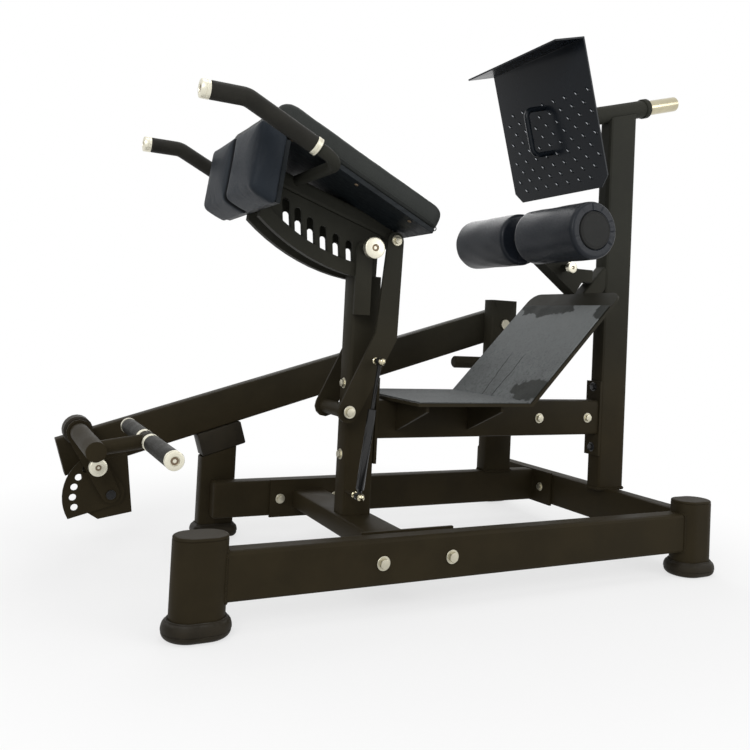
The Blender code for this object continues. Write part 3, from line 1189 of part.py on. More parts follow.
# Hand bar
def make_hand_bar():
    arm = side_plate("hand_arm", [strap((HAND_PIVOT, CROSS_BAR), (ARM_WIDTH, ARM_WIDTH + 2 * SHEET)),
                                  circle(CROSS_BAR, bore_radius(CROSS_BAR_RADIUS, GAP)),
                                  circle(HAND_PIVOT, bore_radius(HAND_BOLT))], ARM_NEAR, ARM_FAR)
    x, z = POP_POINT
    weld(arm, rod("pop_boss", POP_BOSS_RADIUS, (x, POP_BOSS_END, z), (x, ARM_NEAR + GAP, z)))
    cut(arm, bore("pop_hole", POP_RADIUS, POP_POINT, POP_BOSS_END - POP_TRAVEL, BRACKET_FRONT_Y))
    keep(arm, "frame_paint", "hand_bar")
    pull_pin("pop_pin", POP_POINT, ARM_FAR, POP_BOSS_END - POP_TRAVEL - PIN_FIT, POP_RADIUS, POP_KNOB_RADIUS,
             POP_KNOB_LENGTH)

    x, z = CROSS_BAR
    hub = BRACKET_FRONT_Y + GAP
    edge = HUB_RADIUS / 8
    profile = ((0, 0), (HUB_RADIUS - edge, 0), (HUB_RADIUS, edge), (HUB_RADIUS, HUB_LENGTH - edge),
               (HUB_RADIUS - edge, HUB_LENGTH), (0, HUB_LENGTH))
    keep(turned("hand_hub", profile, (x, hub, z), (0, 1, 0)), "rubber_foot", "hand_bar")
    bar = rod("hand_bar", CROSS_BAR_RADIUS, (x, CROSS_BAR_NEAR_Y, z), (x, hub - GAP, z))
    t_x, t_z = T_BAR_POINT
    weld(bar, rod("stem", STEM_RADIUS, (x, BENCH_Y, z), (t_x, BENCH_Y, t_z)),
         rod("t_core", T_BAR_RADIUS, (t_x, T_BAR_LOW_Y + T_GRIP_TIP + GAP, t_z),
             (t_x, T_BAR_HIGH_Y - T_GRIP_TIP - GAP, t_z)),
         rod("t_sleeve", T_GRIP_RADIUS, (t_x, BENCH_Y - T_GRIP_RADIUS, t_z), (t_x, BENCH_Y + T_GRIP_RADIUS, t_z)))
    keep(bar, "frame_paint", "hand_bar")
    for name, start, way in (("near", T_BAR_LOW_Y, 1), ("far", T_BAR_HIGH_Y, -1)):
        length = way * (BENCH_Y - start) - T_GRIP_SPACE / 2
        hole = bore_radius(T_BAR_RADIUS, GAP)
        profile = ((0, 0), (T_GRIP_RADIUS, 0), (T_GRIP_RADIUS, length), (hole, length), (hole, T_GRIP_TIP),
                   (0, T_GRIP_TIP))
        keep(turned("hand_grip_" + name, profile, (t_x, start, t_z), (0, way, 0)), "grip", "hand_bar")


make_base()
make_columns()
make_foot_plate()
make_back_plate()
make_rollers()
make_links()
make_gas_spring()
make_pad_pin()
make_carriage()
make_handles()
make_lever()
make_hand_bar()
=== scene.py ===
"""Finishes and fine pieces of the hyperextension bench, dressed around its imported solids.

Metres, +Z up, in the frame of the solids: the origin is on the floor under the near left foot,
X runs towards the tall column and Y runs away from the near rail.
Steel pieces are smoothed copies of their solids. Upholstery, boots, knobs, treads, bolts and weld
beads are surfaces of two parameters, worked out with numpy.
"""
import logging
import math
from collections.abc import Callable
from dataclasses import dataclass, field
from enum import Enum

import bmesh
import bpy
import numpy as np
from mathutils import Matrix, Vector


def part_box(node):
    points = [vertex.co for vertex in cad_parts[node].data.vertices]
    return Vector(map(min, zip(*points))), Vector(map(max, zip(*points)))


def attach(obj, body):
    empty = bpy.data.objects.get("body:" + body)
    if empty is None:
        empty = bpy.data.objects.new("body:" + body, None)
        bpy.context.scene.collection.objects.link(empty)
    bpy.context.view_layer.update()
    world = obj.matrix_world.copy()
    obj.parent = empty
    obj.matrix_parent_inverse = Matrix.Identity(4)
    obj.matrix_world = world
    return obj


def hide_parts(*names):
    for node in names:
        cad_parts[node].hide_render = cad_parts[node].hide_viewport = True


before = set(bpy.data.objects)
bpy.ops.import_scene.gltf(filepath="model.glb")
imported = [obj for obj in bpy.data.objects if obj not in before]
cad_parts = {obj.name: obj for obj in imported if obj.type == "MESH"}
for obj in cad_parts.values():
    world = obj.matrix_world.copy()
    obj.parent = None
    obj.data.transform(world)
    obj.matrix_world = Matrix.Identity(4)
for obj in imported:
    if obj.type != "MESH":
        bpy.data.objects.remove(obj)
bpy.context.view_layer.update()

LOG = logging.getLogger("bench")
Array = np.ndarray
Pair = tuple[float, float]
Point = tuple[float, float, float]
Piece = bpy.types.Object
Node = bpy.types.Node
Socket = bpy.types.NodeSocket


class Body(Enum):
    """The moving groups that a piece can ride on."""

    BASE = "base"
    LINKS = "links"
    CARRIAGE = "carriage"
    GAS_BODY = "gas_body"
    GAS_PISTON = "gas_piston"
    PAD_PIN = "pad_pin"
    LEVER = "lever"
    HAND_BAR = "hand_bar"
    POP_PIN = "pop_pin"
    ROLLER_MOUNT = "roller_mount"
    NEAR_ROLLER = "near_roller"
    FAR_ROLLER = "far_roller"
    ROLLER_PIN = "roller_pin"
    BACK_PLATE = "back_plate"


class Ends(Enum):
    """How a swept surface is closed."""

    CAPPED = "capped"
    LOOP = "loop"


# Places, angles and limits that several pieces share
MIDDLE_Y = 0.327
PAD_SLOPE = math.radians(26.1)
SLIDE_TILT = math.radians(16)
SLIDE_CENTRE = np.array((1.317, MIDDLE_Y, 1.306))
SLIDE_WAY = np.array([math.cos(SLIDE_TILT), 0, math.sin(SLIDE_TILT)])
SLIDE_UP = np.array([-math.sin(SLIDE_TILT), 0, math.cos(SLIDE_TILT)])
TO_NEAR = np.array((0, -1.0, 0))
LEAN = (0.2, 0.3, 1.0)
SHARP = math.radians(35.0)
FLAT = math.radians(0.5)
BEVEL_FROM = math.radians(38)
SURFACE_GAP = 1e-6
SOLID_GAP = 2e-5
POLE = 1e-5


def node_box(name: str) -> tuple[Array, Array]:
    """Give the lowest and highest corners of a solid, as arrays."""
    low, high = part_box(name)
    return np.array(low), np.array(high)


# Arrays of points
def unit(vector: Array) -> Array:
    """Scale vectors to length one, along the last axis."""
    vector = np.asarray(vector, float)
    return vector / np.linalg.norm(vector, axis=-1, keepdims=True)


def basis(along: Array, across: Array) -> Array:
    """Make an orthonormal basis.

    Args:
        along: direction of the first axis.
        across: direction that the second axis leans to.

    Returns:
        A (3, 3) array whose rows are along, across made square to it, and their cross product.
    """
    first = unit(along)
    second = unit(np.asarray(across, float) - np.dot(across, first) * first)
    return np.array([first, second, np.cross(first, second)])


def pad_rows() -> Array:
    """The hip pad's basis: up its slope, towards the near side, and out of its cushioned face."""
    return basis((-math.cos(PAD_SLOPE), 0, math.sin(PAD_SLOPE)), (0, -1, 0))


def ring_about(rows: Array, steps: int) -> Array:
    """Unit vectors round the first row of a basis, as a (steps, 3) array."""
    angle = np.linspace(0, 2 * math.pi, steps, endpoint=False)
    return np.cos(angle)[:, None] * rows[1] + np.sin(angle)[:, None] * rows[2]


def rounded_loop(width: float, height: float, corner: float, steps: int) -> Array:
    """Points round a rectangle with arc corners.

    The angle runs once round in equal parts for each quarter, and each quarter is shifted
    out to its own corner.

    Returns:
        A (4 * (steps + 1), 2) array, anticlockwise.
    """
    quarter = np.linspace(0, math.pi / 2, steps + 1)
    angles = (quarter[None, :] + np.arange(4)[:, None] * math.pi / 2).ravel()
    side = np.repeat([1, -1, -1, 1], steps + 1) * (width / 2 - corner)
    rise = np.repeat([1, 1, -1, -1], steps + 1) * (height / 2 - corner)
    return np.stack([side + corner * np.cos(angles), rise + corner * np.sin(angles)], axis=1)


def filleted(points: list[Point], radius: float, steps: int = 10) -> Array:
    """A path whose inner corners are turned with an arc of one radius."""
    corners = [np.array(point, float) for point in points]
    path = [corners[0][None]]
    share = np.linspace(0, 1, steps + 1)[:, None]
    for before, corner, after in zip(corners, corners[1:], corners[2:]):
        into, out = unit(corner - before), unit(after - corner)
        angle = math.acos(np.clip(np.dot(into, out), -1, 1))
        reach = radius * math.tan(angle / 2)
        centre = corner + unit(out - into) * radius / math.cos(angle / 2)
        start, end = corner - into * reach - centre, corner + out * reach - centre
        path.append(centre + (np.sin((1 - share) * angle) * start + np.sin(share * angle) * end) / math.sin(angle))
    return np.concatenate(path + [corners[-1][None]])


def resampled(path: Array, spacing: float) -> Array:
    """Put points along a path at about equal spacing, keeping its two ends."""
    lengths = np.concatenate([[0], np.cumsum(np.linalg.norm(np.diff(path, axis=0), axis=1))])
    places = np.linspace(0, lengths[-1], max(2, int(lengths[-1] / spacing) + 1))
    return np.stack([np.interp(places, lengths, path[:, axis]) for axis in range(3)], axis=1)


def carried_frames(path: Array, up: Array, loop: bool) -> tuple[Array, Array]:
    """Two unit vectors square to a path at each of its points, leaning to a fixed direction."""
    if loop:
        tangent = unit(np.roll(path, -1, axis=0) - np.roll(path, 1, axis=0))
    else:
        tangent = unit(np.gradient(path, axis=0))
    side = unit(np.cross(tangent, np.asarray(up, float)[None]))
    return side, np.cross(side, tangent)


# Meshes from arrays
def surface(name: str, grid: Array, loop_rows: bool = False) -> Piece:
    """Make an object from a grid of points.

    Columns always close on themselves. Rows close on themselves where loop_rows is set, and
    otherwise the first and last rows are closed with one face each.

    Args:
        name: the object's name.
        grid: (rows, columns, 3) array of points, columns anticlockwise seen against the rows' way.
        loop_rows: whether the last row joins the first.

    Returns:
        The linked object, shaded smooth, with faces pointing out.
    """
    rows, columns = grid.shape[:2]
    index = np.arange(rows * columns).reshape(rows, columns)
    upper = np.roll(index, -1, axis=0) if loop_rows else index[1:]
    lower = index if loop_rows else index[:-1]
    faces = np.stack([lower, np.roll(lower, -1, axis=1), np.roll(upper, -1, axis=1), upper], axis=-1)
    polygons = faces.reshape(-1, 4).tolist()
    if not loop_rows:
        polygons += [index[0][::-1].tolist(), index[-1].tolist()]
    return solid(name, grid.reshape(-1, 3), polygons)


def solid(name: str, points: Array, polygons: list[list[int]]) -> Piece:
    """Make a smooth-shaded object from points and polygons, merged and facing outwards."""
    mesh = bpy.data.meshes.new(name)
    mesh.from_pydata(np.asarray(points).tolist(), [], polygons)
    reshaped(mesh, SURFACE_GAP, lambda shape: bmesh.ops.recalc_face_normals(shape, faces=shape.faces))
    return linked(name, mesh)


def reshaped(mesh: bpy.types.Mesh, gap: float, operation: Callable[[bmesh.types.BMesh], object]) -> None:
    """Merge a mesh's close points, run one operation on it and shade it smooth.

    Args:
        mesh: the mesh; it is changed.
        gap: distance below which points are merged.
        operation: what is done to it in between.
    """
    shape = bmesh.new()
    shape.from_mesh(mesh)
    bmesh.ops.remove_doubles(shape, verts=shape.verts, dist=gap)
    operation(shape)
    shape.to_mesh(mesh)
    shape.free()
    mesh.shade_smooth()
    mesh.set_sharp_from_angle(angle=SHARP)


def linked(name: str, data: bpy.types.ID) -> Piece:
    """Make an object of a mesh, a lamp or a camera, and link it to the scene."""
    item = bpy.data.objects.new(name, data)
    bpy.context.scene.collection.objects.link(item)
    return item


def mesh_points(mesh: bpy.types.Mesh) -> Array:
    """Read a mesh's points, as a (count, 3) array."""
    points = np.empty(len(mesh.vertices) * 3, np.float32)
    mesh.vertices.foreach_get("co", points)
    return points.reshape(-1, 3).astype(float)


def lofted(name: str, low: Array, high: Array, rings: Array, corner: float, steps: int) -> Piece:
    """Make an upright shape of rounded loops.

    A point is centre + loop(v) grown by margin(u), at height(u).

    Args:
        name: the object's name.
        low: lowest corner of the upright that margins are measured from.
        high: its highest corner.
        rings: (height, margin) pairs, one for each loop.
        corner: corner radius of the upright's section.
        steps: parts of each rounded corner.

    Returns:
        A closed surface.
    """
    rings = np.asarray(rings)
    loops = [rounded_loop(*(high - low + 2 * margin)[:2], corner + margin, steps) for margin in rings[:, 1]]
    grid = np.empty((len(rings), len(loops[0]), 3))
    grid[..., :2] = np.array(loops) + ((low + high) / 2)[:2]
    grid[..., 2] = rings[:, 0, None]
    return surface(name, grid)


def turned(name: str, profile: list[Pair], start: Array, along: Array, steps: int) -> Piece:
    """Turn a profile about an axis.

    A point at angle a is start + distance * axis + radius * (cos a * side + sin a * other side).

    Args:
        name: the object's name.
        profile: (radius, distance) pairs from one pole to the other.
        start: the point where distance is zero.
        along: direction of the axis.
        steps: points round the axis.

    Returns:
        A closed surface.
    """
    profile = np.array(profile, float)
    rows = basis(along, (0.3, 0.2, 1.0) if abs(unit(along)[2]) < 0.9 else (1.0, 0.2, 0.1))
    radius = np.maximum(profile[:, :1], POLE)[..., None]
    places = np.asarray(start, float) + profile[:, 1, None, None] * rows[0]
    return surface(name, places + radius * ring_about(rows, steps))


def swept(name: str, path: Array, section: Array, up: Point = (0, 0, 1), ends: Ends = Ends.CAPPED,
          swell: Array | None = None) -> Piece:
    """Carry a flat section along a path.

    A point is path(u) + s(v) * side(u) + t(v) * rise(u), each scaled by swell(u).

    Args:
        name: the object's name.
        path: (n, 3) points of the path.
        section: (m, 2) points of the section, anticlockwise.
        up: direction that the section's second axis leans to.
        ends: capped, or a loop that closes on itself.
        swell: (n,) scale of the section at each point of the path.

    Returns:
        A closed surface.
    """
    loop = ends is Ends.LOOP
    side, rise = carried_frames(path, np.array(up), loop)
    scale = np.ones(len(path)) if swell is None else swell
    flat = section[None, :, :] * scale[:, None, None]
    grid = path[:, None] + flat[..., :1] * side[:, None] + flat[..., 1:] * rise[:, None]
    return surface(name, grid, loop_rows=loop)


def circle(radius: float, steps: int = 24) -> Array:
    """Points of a circle, anticlockwise, as a (steps, 2) array."""
    angle = np.linspace(0, 2 * math.pi, steps, endpoint=False)
    return radius * np.stack([np.cos(angle), np.sin(angle)], axis=1)


def soft_rod(name: str, path: Array, radius: float, up: Point = (0, 0, 1), edge: float = 0.002) -> Piece:
    """Carry a circle along a path, drawn in over a short rounded edge at both ends."""
    turn = np.linspace(0, math.pi / 2, 5)
    ins, shrink = edge * (1 - np.sin(turn)), (radius - edge + edge * np.cos(turn)) / radius
    first, last = unit(path[1] - path[0]), unit(path[-1] - path[-2])
    inner = path.copy()
    inner[0] += first * edge
    inner[-1] -= last * edge
    head = inner[0] - first * (edge - ins[::-1, None])
    tail = inner[-1] + last * (edge - ins[:, None])
    places = np.concatenate([head, inner[1:-1], tail])
    swell = np.concatenate([shrink[::-1], np.ones(len(inner) - 2), shrink])
    return swept(name, places, circle(radius), up, swell=swell)


# Riding, slots and smoothed copies
def dress(item: Piece, body: Body, finish: "Finish", *nodes: str, bevel: float = 0.0) -> Piece:
    """Give a piece its finish and let it ride on a moving group.

    Args:
        item: the piece.
        body: the group that it rides on.
        finish: its finish.
        nodes: solids that it stands for.
        bevel: width of its rounded edges, or zero.

    Returns:
        The piece.
    """
    item.data.materials.clear()
    item.data.materials.append(finish.material())
    if bevel:
        rounding = item.modifiers.new("rounded_edges", "BEVEL")
        rounding.width = bevel
        rounding.segments = 2
        rounding.limit_method = "ANGLE"
        rounding.angle_limit = BEVEL_FROM
        rounding.harden_normals = True
    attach(item, body.value)
    if nodes:
        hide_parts(*nodes)
    LOG.info("%s rides on %s", item.name, body.value)
    return item


def smoothed(node: str, body: Body, finish: "Finish", bevel: float) -> Piece:
    """Stand a merged, smoothly shaded and edge-rounded copy of a solid in for it.

    Args:
        node: the solid.
        body: the group that it belongs to.
        finish: the copy's finish.
        bevel: width of the rounded edges.

    Returns:
        The copy.
    """
    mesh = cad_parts[node].data.copy()
    reshaped(mesh, SOLID_GAP, lambda shape: bmesh.ops.dissolve_limit(
        shape, angle_limit=FLAT, verts=shape.verts, edges=shape.edges))
    mesh.materials.clear()
    return dress(linked(node + "_finished", mesh), body, finish, node, bevel=bevel)


# Shader nodes
Value = Socket | float | tuple


class Graph:
    """A small writer of shader nodes in one node tree."""

    def __init__(self, tree: bpy.types.NodeTree) -> None:
        """Keep the tree that nodes go into."""
        self.tree = tree

    def feed(self, socket: Socket, value: Value) -> None:
        """Link a socket to an output, or set it to a plain value."""
        if isinstance(value, Socket):
            self.tree.links.new(value, socket)
        else:
            socket.default_value = value

    def node(self, kind: str, settings: dict | None = None, **inputs: Value) -> Node:
        """Add a node.

        Args:
            kind: the node type's name, after ShaderNode.
            settings: properties of the node.
            inputs: values by socket name, with _ for a space.

        Returns:
            The node.
        """
        made = self.tree.nodes.new("ShaderNode" + kind)
        for key, value in (settings or {}).items():
            setattr(made, key, value)
        for key, value in inputs.items():
            self.feed(made.inputs[key.replace("_", " ")], value)
        return made

    def math(self, operation: str, *values: Value, kind: str = "Math", output: int | str = 0) -> Socket:
        """Give an output of a Math node, or of a VectorMath node where kind says so."""
        made = self.node(kind, {"operation": operation})
        for socket, value in zip(made.inputs, values):
            self.feed(socket, value)
        return made.outputs[output]

    def product(self, first: Value, *others: Value) -> Value:
        """Multiply values one after another."""
        for other in others:
            first = self.math("MULTIPLY", first, other)
        return first

    def mix(self, share: Value, first: Value, second: Value) -> Socket:
        """Give a colour mixed from two."""
        made = self.node("Mix", {"data_type": "RGBA"})
        for number, value in ((0, share), (6, first), (7, second)):
            self.feed(made.inputs[number], value)
        return made.outputs[2]

    def step(self, value: Value, low: float, high: float, start: float = 0.0, end: float = 1.0) -> Socket:
        """Give a smooth step that goes from start to end as value goes from low to high."""
        made = self.node("MapRange", {"interpolation_type": "SMOOTHSTEP"}, Value=value, From_Min=low, From_Max=high,
                         To_Min=start, To_Max=end)
        return made.outputs[0]

    def noise(self, vector: Value, scale: Value, detail: float = 3.0, rough: float = 0.55) -> Socket:
        """Give a noise value between zero and one."""
        made = self.node("TexNoise", Vector=vector, Scale=scale, Detail=detail, Roughness=rough)
        return made.outputs["Fac"]

    def edges(self, vector: Value, scale: Value) -> Socket:
        """Give the distance to the nearest edge between cells."""
        cells = self.node("TexVoronoi", {"feature": "DISTANCE_TO_EDGE"}, Vector=vector, Scale=scale)
        return cells.outputs["Distance"]

    def place(self, turn: Point = (0, 0, 0), scale: Point = (1, 1, 1), centre: Point = (0, 0, 0)) -> Socket:
        """Give Object coordinates, turned and scaled about a centre."""
        coordinates = self.node("TexCoord").outputs["Object"]
        if turn == (0, 0, 0) and scale == (1, 1, 1) and centre == (0, 0, 0):
            return coordinates
        moved = self.math("SUBTRACT", coordinates, centre, kind="VectorMath")
        return self.node("Mapping", Vector=moved, Rotation=turn, Scale=scale).outputs[0]

    def effect(self, effect: "Effect", **inputs: Value) -> Node:
        """Place a shared effect with its own values."""
        made = self.tree.nodes.new("ShaderNodeGroup")
        made.node_tree = EFFECTS[effect]
        for key, value in inputs.items():
            self.feed(made.inputs[key.replace("_", " ")], value)
        return made


class Effect(Enum):
    """The effects that several finishes share."""

    FINE_GRAIN = "fine_grain"
    TONE_DRIFT = "tone_drift"
    TOP_DUSTING_AND_HIGHLIGHT = "top_dusting_and_highlight"
    VINYL_GRAIN = "vinyl_grain"
    BRUSHED = "brushed_lines"
    SCUFFS = "scuffs"


def effect_group(effect: Effect, build: Callable[..., tuple], inputs: dict[str, float | tuple],
                 outputs: tuple[str, ...]) -> bpy.types.NodeTree:
    """Build an effect as a node group with named sockets.

    Args:
        effect: which effect the group is.
        build: adds its nodes to a graph, given its input sockets, and gives its output sockets.
        inputs: default values by name, besides Vector; a tuple is a colour.
        outputs: names of the outputs, of which Colour is a colour and the others are values.

    Returns:
        The group's node tree.
    """
    tree = bpy.data.node_groups.new(effect.value, "ShaderNodeTree")
    inputs = {"Vector": (0, 0, 0), **inputs}
    for name, value in inputs.items():
        kind = "Float" if isinstance(value, float) else "Vector" if name == "Vector" else "Color"
        tree.interface.new_socket(name, in_out="INPUT", socket_type="NodeSocket" + kind).default_value = value
    for name in outputs:
        kind = "Color" if name == "Colour" else "Float"
        tree.interface.new_socket(name, in_out="OUTPUT", socket_type="NodeSocket" + kind)
    graph = Graph(tree)
    into, out = tree.nodes.new("NodeGroupInput"), tree.nodes.new("NodeGroupOutput")
    for name, value in zip(outputs, build(graph, *[into.outputs[name] for name in inputs])):
        graph.feed(out.inputs[name], value)
    return tree


def fine_grain(graph: Graph, vector: Value, scale: Value) -> tuple[Value]:
    """Two octaves of noise summed, for orange peel, rubber and cast skins."""
    coarse = graph.noise(vector, scale, 2.0)
    fine = graph.noise(vector, graph.math("MULTIPLY", scale, 3.3), 2.0, 0.7)
    return (graph.math("MULTIPLY_ADD", fine, 0.5, coarse),)


def tone_drift(graph: Graph, vector: Value, colour: Value, other: Value, amount: Value, scale: Value
               ) -> tuple[Value, Value]:
    """A colour that drifts towards another in large soft patches, and the patches."""
    patch = graph.step(graph.noise(vector, scale, 4.0, 0.6), 0.35, 0.68)
    return graph.mix(graph.math("MULTIPLY", patch, amount), colour, other), patch


def top_dusting_and_highlight(graph: Graph, vector: Value, colour: Value, dusting_and_highlight: Value, amount: Value) -> tuple[Value, Value]:
    """A pale tone on faces that look up, broken by noise, and its mask: dusting, and on the rollers a painted
    highlight on top.
    """
    normal = graph.node("NewGeometry").outputs["Normal"]
    lying = graph.step(graph.node("SeparateXYZ", Vector=normal).outputs["Z"], 0.55, 1.0)
    mask = graph.product(lying, graph.step(graph.noise(vector, 38.0, 6.0, 0.7), 0.35, 0.75), amount)
    return graph.mix(mask, colour, dusting_and_highlight), mask


def vinyl_grain(graph: Graph, vector: Value, scale: Value) -> tuple[Value, Value]:
    """Pebbled upholstery grain: cells with sunk edges, on a softly rolling ground, and its creases."""
    bend = graph.node("TexNoise", Vector=vector, Scale=90.0, Detail=2.0)
    shifted = graph.math("MULTIPLY_ADD", bend.outputs["Color"], (0.004, 0.004, 0.004), vector, kind="VectorMath")
    pebble = graph.step(graph.edges(shifted, scale), 0.0, 0.22)
    ground = graph.math("MULTIPLY", graph.noise(vector, 55.0, 3.0), 0.9)
    return graph.math("MULTIPLY_ADD", pebble, 0.55, ground), graph.math("SUBTRACT", 1.0, pebble)


def brushed_lines(graph: Graph, vector: Value, scale: Value) -> tuple[Value, Value]:
    """Fine lines left by a tool, on coordinates stretched along one axis: their height and roughness."""
    lines = graph.noise(vector, scale, 2.0, 0.6)
    smear = graph.math("MULTIPLY", graph.noise(vector, 24.0, 3.0, 0.6), 0.14)
    return lines, graph.math("MULTIPLY_ADD", lines, 0.12, smear)


def scuffs(graph: Graph, vector: Value, scale: Value, amount: Value) -> tuple[Value]:
    """Hair-thin scratches: the edges of long stretched cells, kept only here and there."""
    thin = graph.step(graph.edges(vector, scale), 0.0, 0.012, 1.0, 0.0)
    return (graph.product(thin, graph.step(graph.noise(vector, 9.0, 3.0), 0.50, 0.66), amount),)


# The third tone is the pale one laid on faces that look up: a thin dusting on most finishes, and a painted highlight
# along the rollers' tops
GREY, PALE, DUSTING_AND_HIGHLIGHT_TONE = (0.1, 0.1, 0.1, 1), (0.2, 0.2, 0.2, 1), (0.34, 0.33, 0.31, 1)
EFFECTS = {effect: effect_group(effect, build, inputs, outputs) for effect, build, inputs, outputs in (
    (Effect.FINE_GRAIN, fine_grain, {"Scale": 200.0}, ("Height",)),
    (Effect.TONE_DRIFT, tone_drift, {"Colour": GREY, "Other": PALE, "Amount": 0.5, "Scale": 6.0}, ("Colour", "Patch")),
    (Effect.TOP_DUSTING_AND_HIGHLIGHT, top_dusting_and_highlight, {"Colour": GREY, "Dusting_and_highlight": DUSTING_AND_HIGHLIGHT_TONE, "Amount": 0.1}, ("Colour", "Mask")),
    (Effect.VINYL_GRAIN, vinyl_grain, {"Scale": 420.0}, ("Height", "Crease")),
    (Effect.BRUSHED, brushed_lines, {"Scale": 900.0}, ("Height", "Rough")),
    (Effect.SCUFFS, scuffs, {"Scale": 14.0, "Amount": 0.5}, ("Mask",)),
)}
MATERIALS: dict[str, bpy.types.Material] = {}


def rgba(colour: Point, level: float = 1.0) -> tuple[float, float, float, float]:
    """Make a shader colour, lightened or darkened by a level."""
    return (colour[0] * level, colour[1] * level, colour[2] * level, 1.0)


# Finishes
@dataclass(frozen=True)
class Finish:
    """A finish with a colour, a roughness and a surface of its own.

    Attributes:
        name: the material's name.
        slot: the record's slot that it belongs to; not used.
        colour: linear base colour.
        roughness: its mean roughness.
        shine: the Principled shader's specular level.
    """

    name: str
    slot: str
    colour: Point
    roughness: float
    shine: float = 0.5

    def material(self) -> bpy.types.Material:
        """Build the material once and give it each time."""
        if self.name not in MATERIALS:
            made = bpy.data.materials.new(self.name)
            made.use_nodes = True
            graph = Graph(made.node_tree)
            shader = made.node_tree.nodes["Principled BSDF"]
            shader.inputs["Specular IOR Level"].default_value = self.shine
            self.shade(graph, shader)
            MATERIALS[self.name] = made
        return MATERIALS[self.name]

    def shade(self, graph: Graph, shader: Node) -> None:
        """Wire the shader."""
        raise NotImplementedError

    def tone(self, level: float) -> tuple[float, float, float, float]:
        """The finish's colour, lightened or darkened by a level."""
        return rgba(self.colour, level)

    def drift(self, graph: Graph, place: Value, lift: float, amount: float, scale: float) -> Node:
        """Let the finish's colour drift towards a lighter or darker tone of it."""
        return graph.effect(Effect.TONE_DRIFT, Vector=place, Colour=self.tone(1.0), Other=self.tone(lift),
                            Amount=amount, Scale=scale)

    def wire(self, graph: Graph, shader: Node, colour: Value, rough: Value, height: Value, depth: float) -> None:
        """Feed the shader's colour, its roughness, and its normal from a height in shares of a depth in metres."""
        normal = graph.node("Bump", Height=height, Distance=depth, Strength=1.0).outputs["Normal"]
        for name, value in (("Base Color", colour), ("Roughness", rough), ("Normal", normal)):
            graph.feed(shader.inputs[name], value)


@dataclass(frozen=True)
class Paint(Finish):
    """Satin powder coat: orange peel, soft tone patches, a little dusting on top and painted light higher up."""

    peel: float = 0.00005
    peel_scale: float = 420.0
    lift: float = 1.7
    dusting_and_highlight: float = 0.10
    # upper: the lighter, greener tone that the colour turns to from 0.25 to 0.95 m up, as painted light on the higher
    # parts
    upper: Point | None = None

    def shade(self, graph: Graph, shader: Node) -> None:
        """Wire colour through painted light by height, drift and dusting, roughness through the same patches, and peel
        to the normal.
        """
        place = graph.place()
        base, other = self.tone(1.0), self.tone(self.lift)
        # Painted light: the colour turns towards the lighter upper tone with height, from 0.25 to 0.95 m
        if self.upper is not None:
            rise = graph.step(graph.node("SeparateXYZ", Vector=place).outputs["Z"], 0.25, 0.95)
            base = graph.mix(rise, base, rgba(self.upper))
            other = graph.mix(rise, other, rgba(self.upper, self.lift))
        drift = graph.effect(Effect.TONE_DRIFT, Vector=place, Colour=base, Other=other, Amount=0.7, Scale=7.0)
        dusting_and_highlight = graph.effect(Effect.TOP_DUSTING_AND_HIGHLIGHT, Vector=place, Colour=drift.outputs["Colour"], Amount=self.dusting_and_highlight)
        patch = graph.math("MULTIPLY_ADD", drift.outputs["Patch"], 0.10, self.roughness - 0.05)
        peel = graph.effect(Effect.FINE_GRAIN, Vector=place, Scale=self.peel_scale)
        self.wire(graph, shader, dusting_and_highlight.outputs["Colour"], graph.math("ADD", patch, dusting_and_highlight.outputs["Mask"]),
                  peel.outputs["Height"], self.peel)


@dataclass(frozen=True)
class Vinyl(Finish):
    """Upholstery vinyl: pebbled grain, darker creases, a faint drift of tone, a pale top tone and a painted shade
    along a parting.

    Attributes:
        dusting_and_highlight: strength of the pale tone on faces that look up: a little dusting, and on the rollers a
            painted highlight on top.
        parting_shade_y: where a painted shade runs across the bench, in the gap between two pads, if there is one.
    """

    grain: float = 0.00010
    grain_scale: float = 430.0
    lift: float = 1.35
    dusting_and_highlight: float = 0.04
    parting_shade_y: float | None = None

    def shade(self, graph: Graph, shader: Node) -> None:
        """Wire colour through drift, grain creases and a painted shade at the parting, and the grain to roughness and
        normal.
        """
        place = graph.place()
        grain = graph.effect(Effect.VINYL_GRAIN, Vector=place, Scale=self.grain_scale)
        drift = self.drift(graph, place, self.lift, 0.8, 5.0)
        creased = graph.math("MULTIPLY", grain.outputs["Crease"], 0.35)
        colour = graph.mix(creased, drift.outputs["Colour"], self.tone(0.45))
        # Painted shade: a dark band within 9 to 16.5 mm of the parting, where the gap between the chest pads lies in
        # shadow
        if self.parting_shade_y is not None:
            across = graph.math("SUBTRACT", graph.node("SeparateXYZ", Vector=place).outputs["Y"], self.parting_shade_y)
            sunk = graph.step(graph.math("ABSOLUTE", across), 0.0090, 0.0165, 0.95, 0.0)
            colour = graph.mix(sunk, colour, self.tone(0.12))
        # Pale tone on faces that look up: a thin dusting on the pads, and on the rollers a painted highlight along
        # their tops
        dusting_and_highlight = graph.effect(Effect.TOP_DUSTING_AND_HIGHLIGHT, Vector=place, Colour=colour, Amount=self.dusting_and_highlight)
        rough = graph.step(grain.outputs["Crease"], 0.0, 1.0, self.roughness, self.roughness + 0.18)
        self.wire(graph, shader, dusting_and_highlight.outputs["Colour"], rough, grain.outputs["Height"], self.grain)


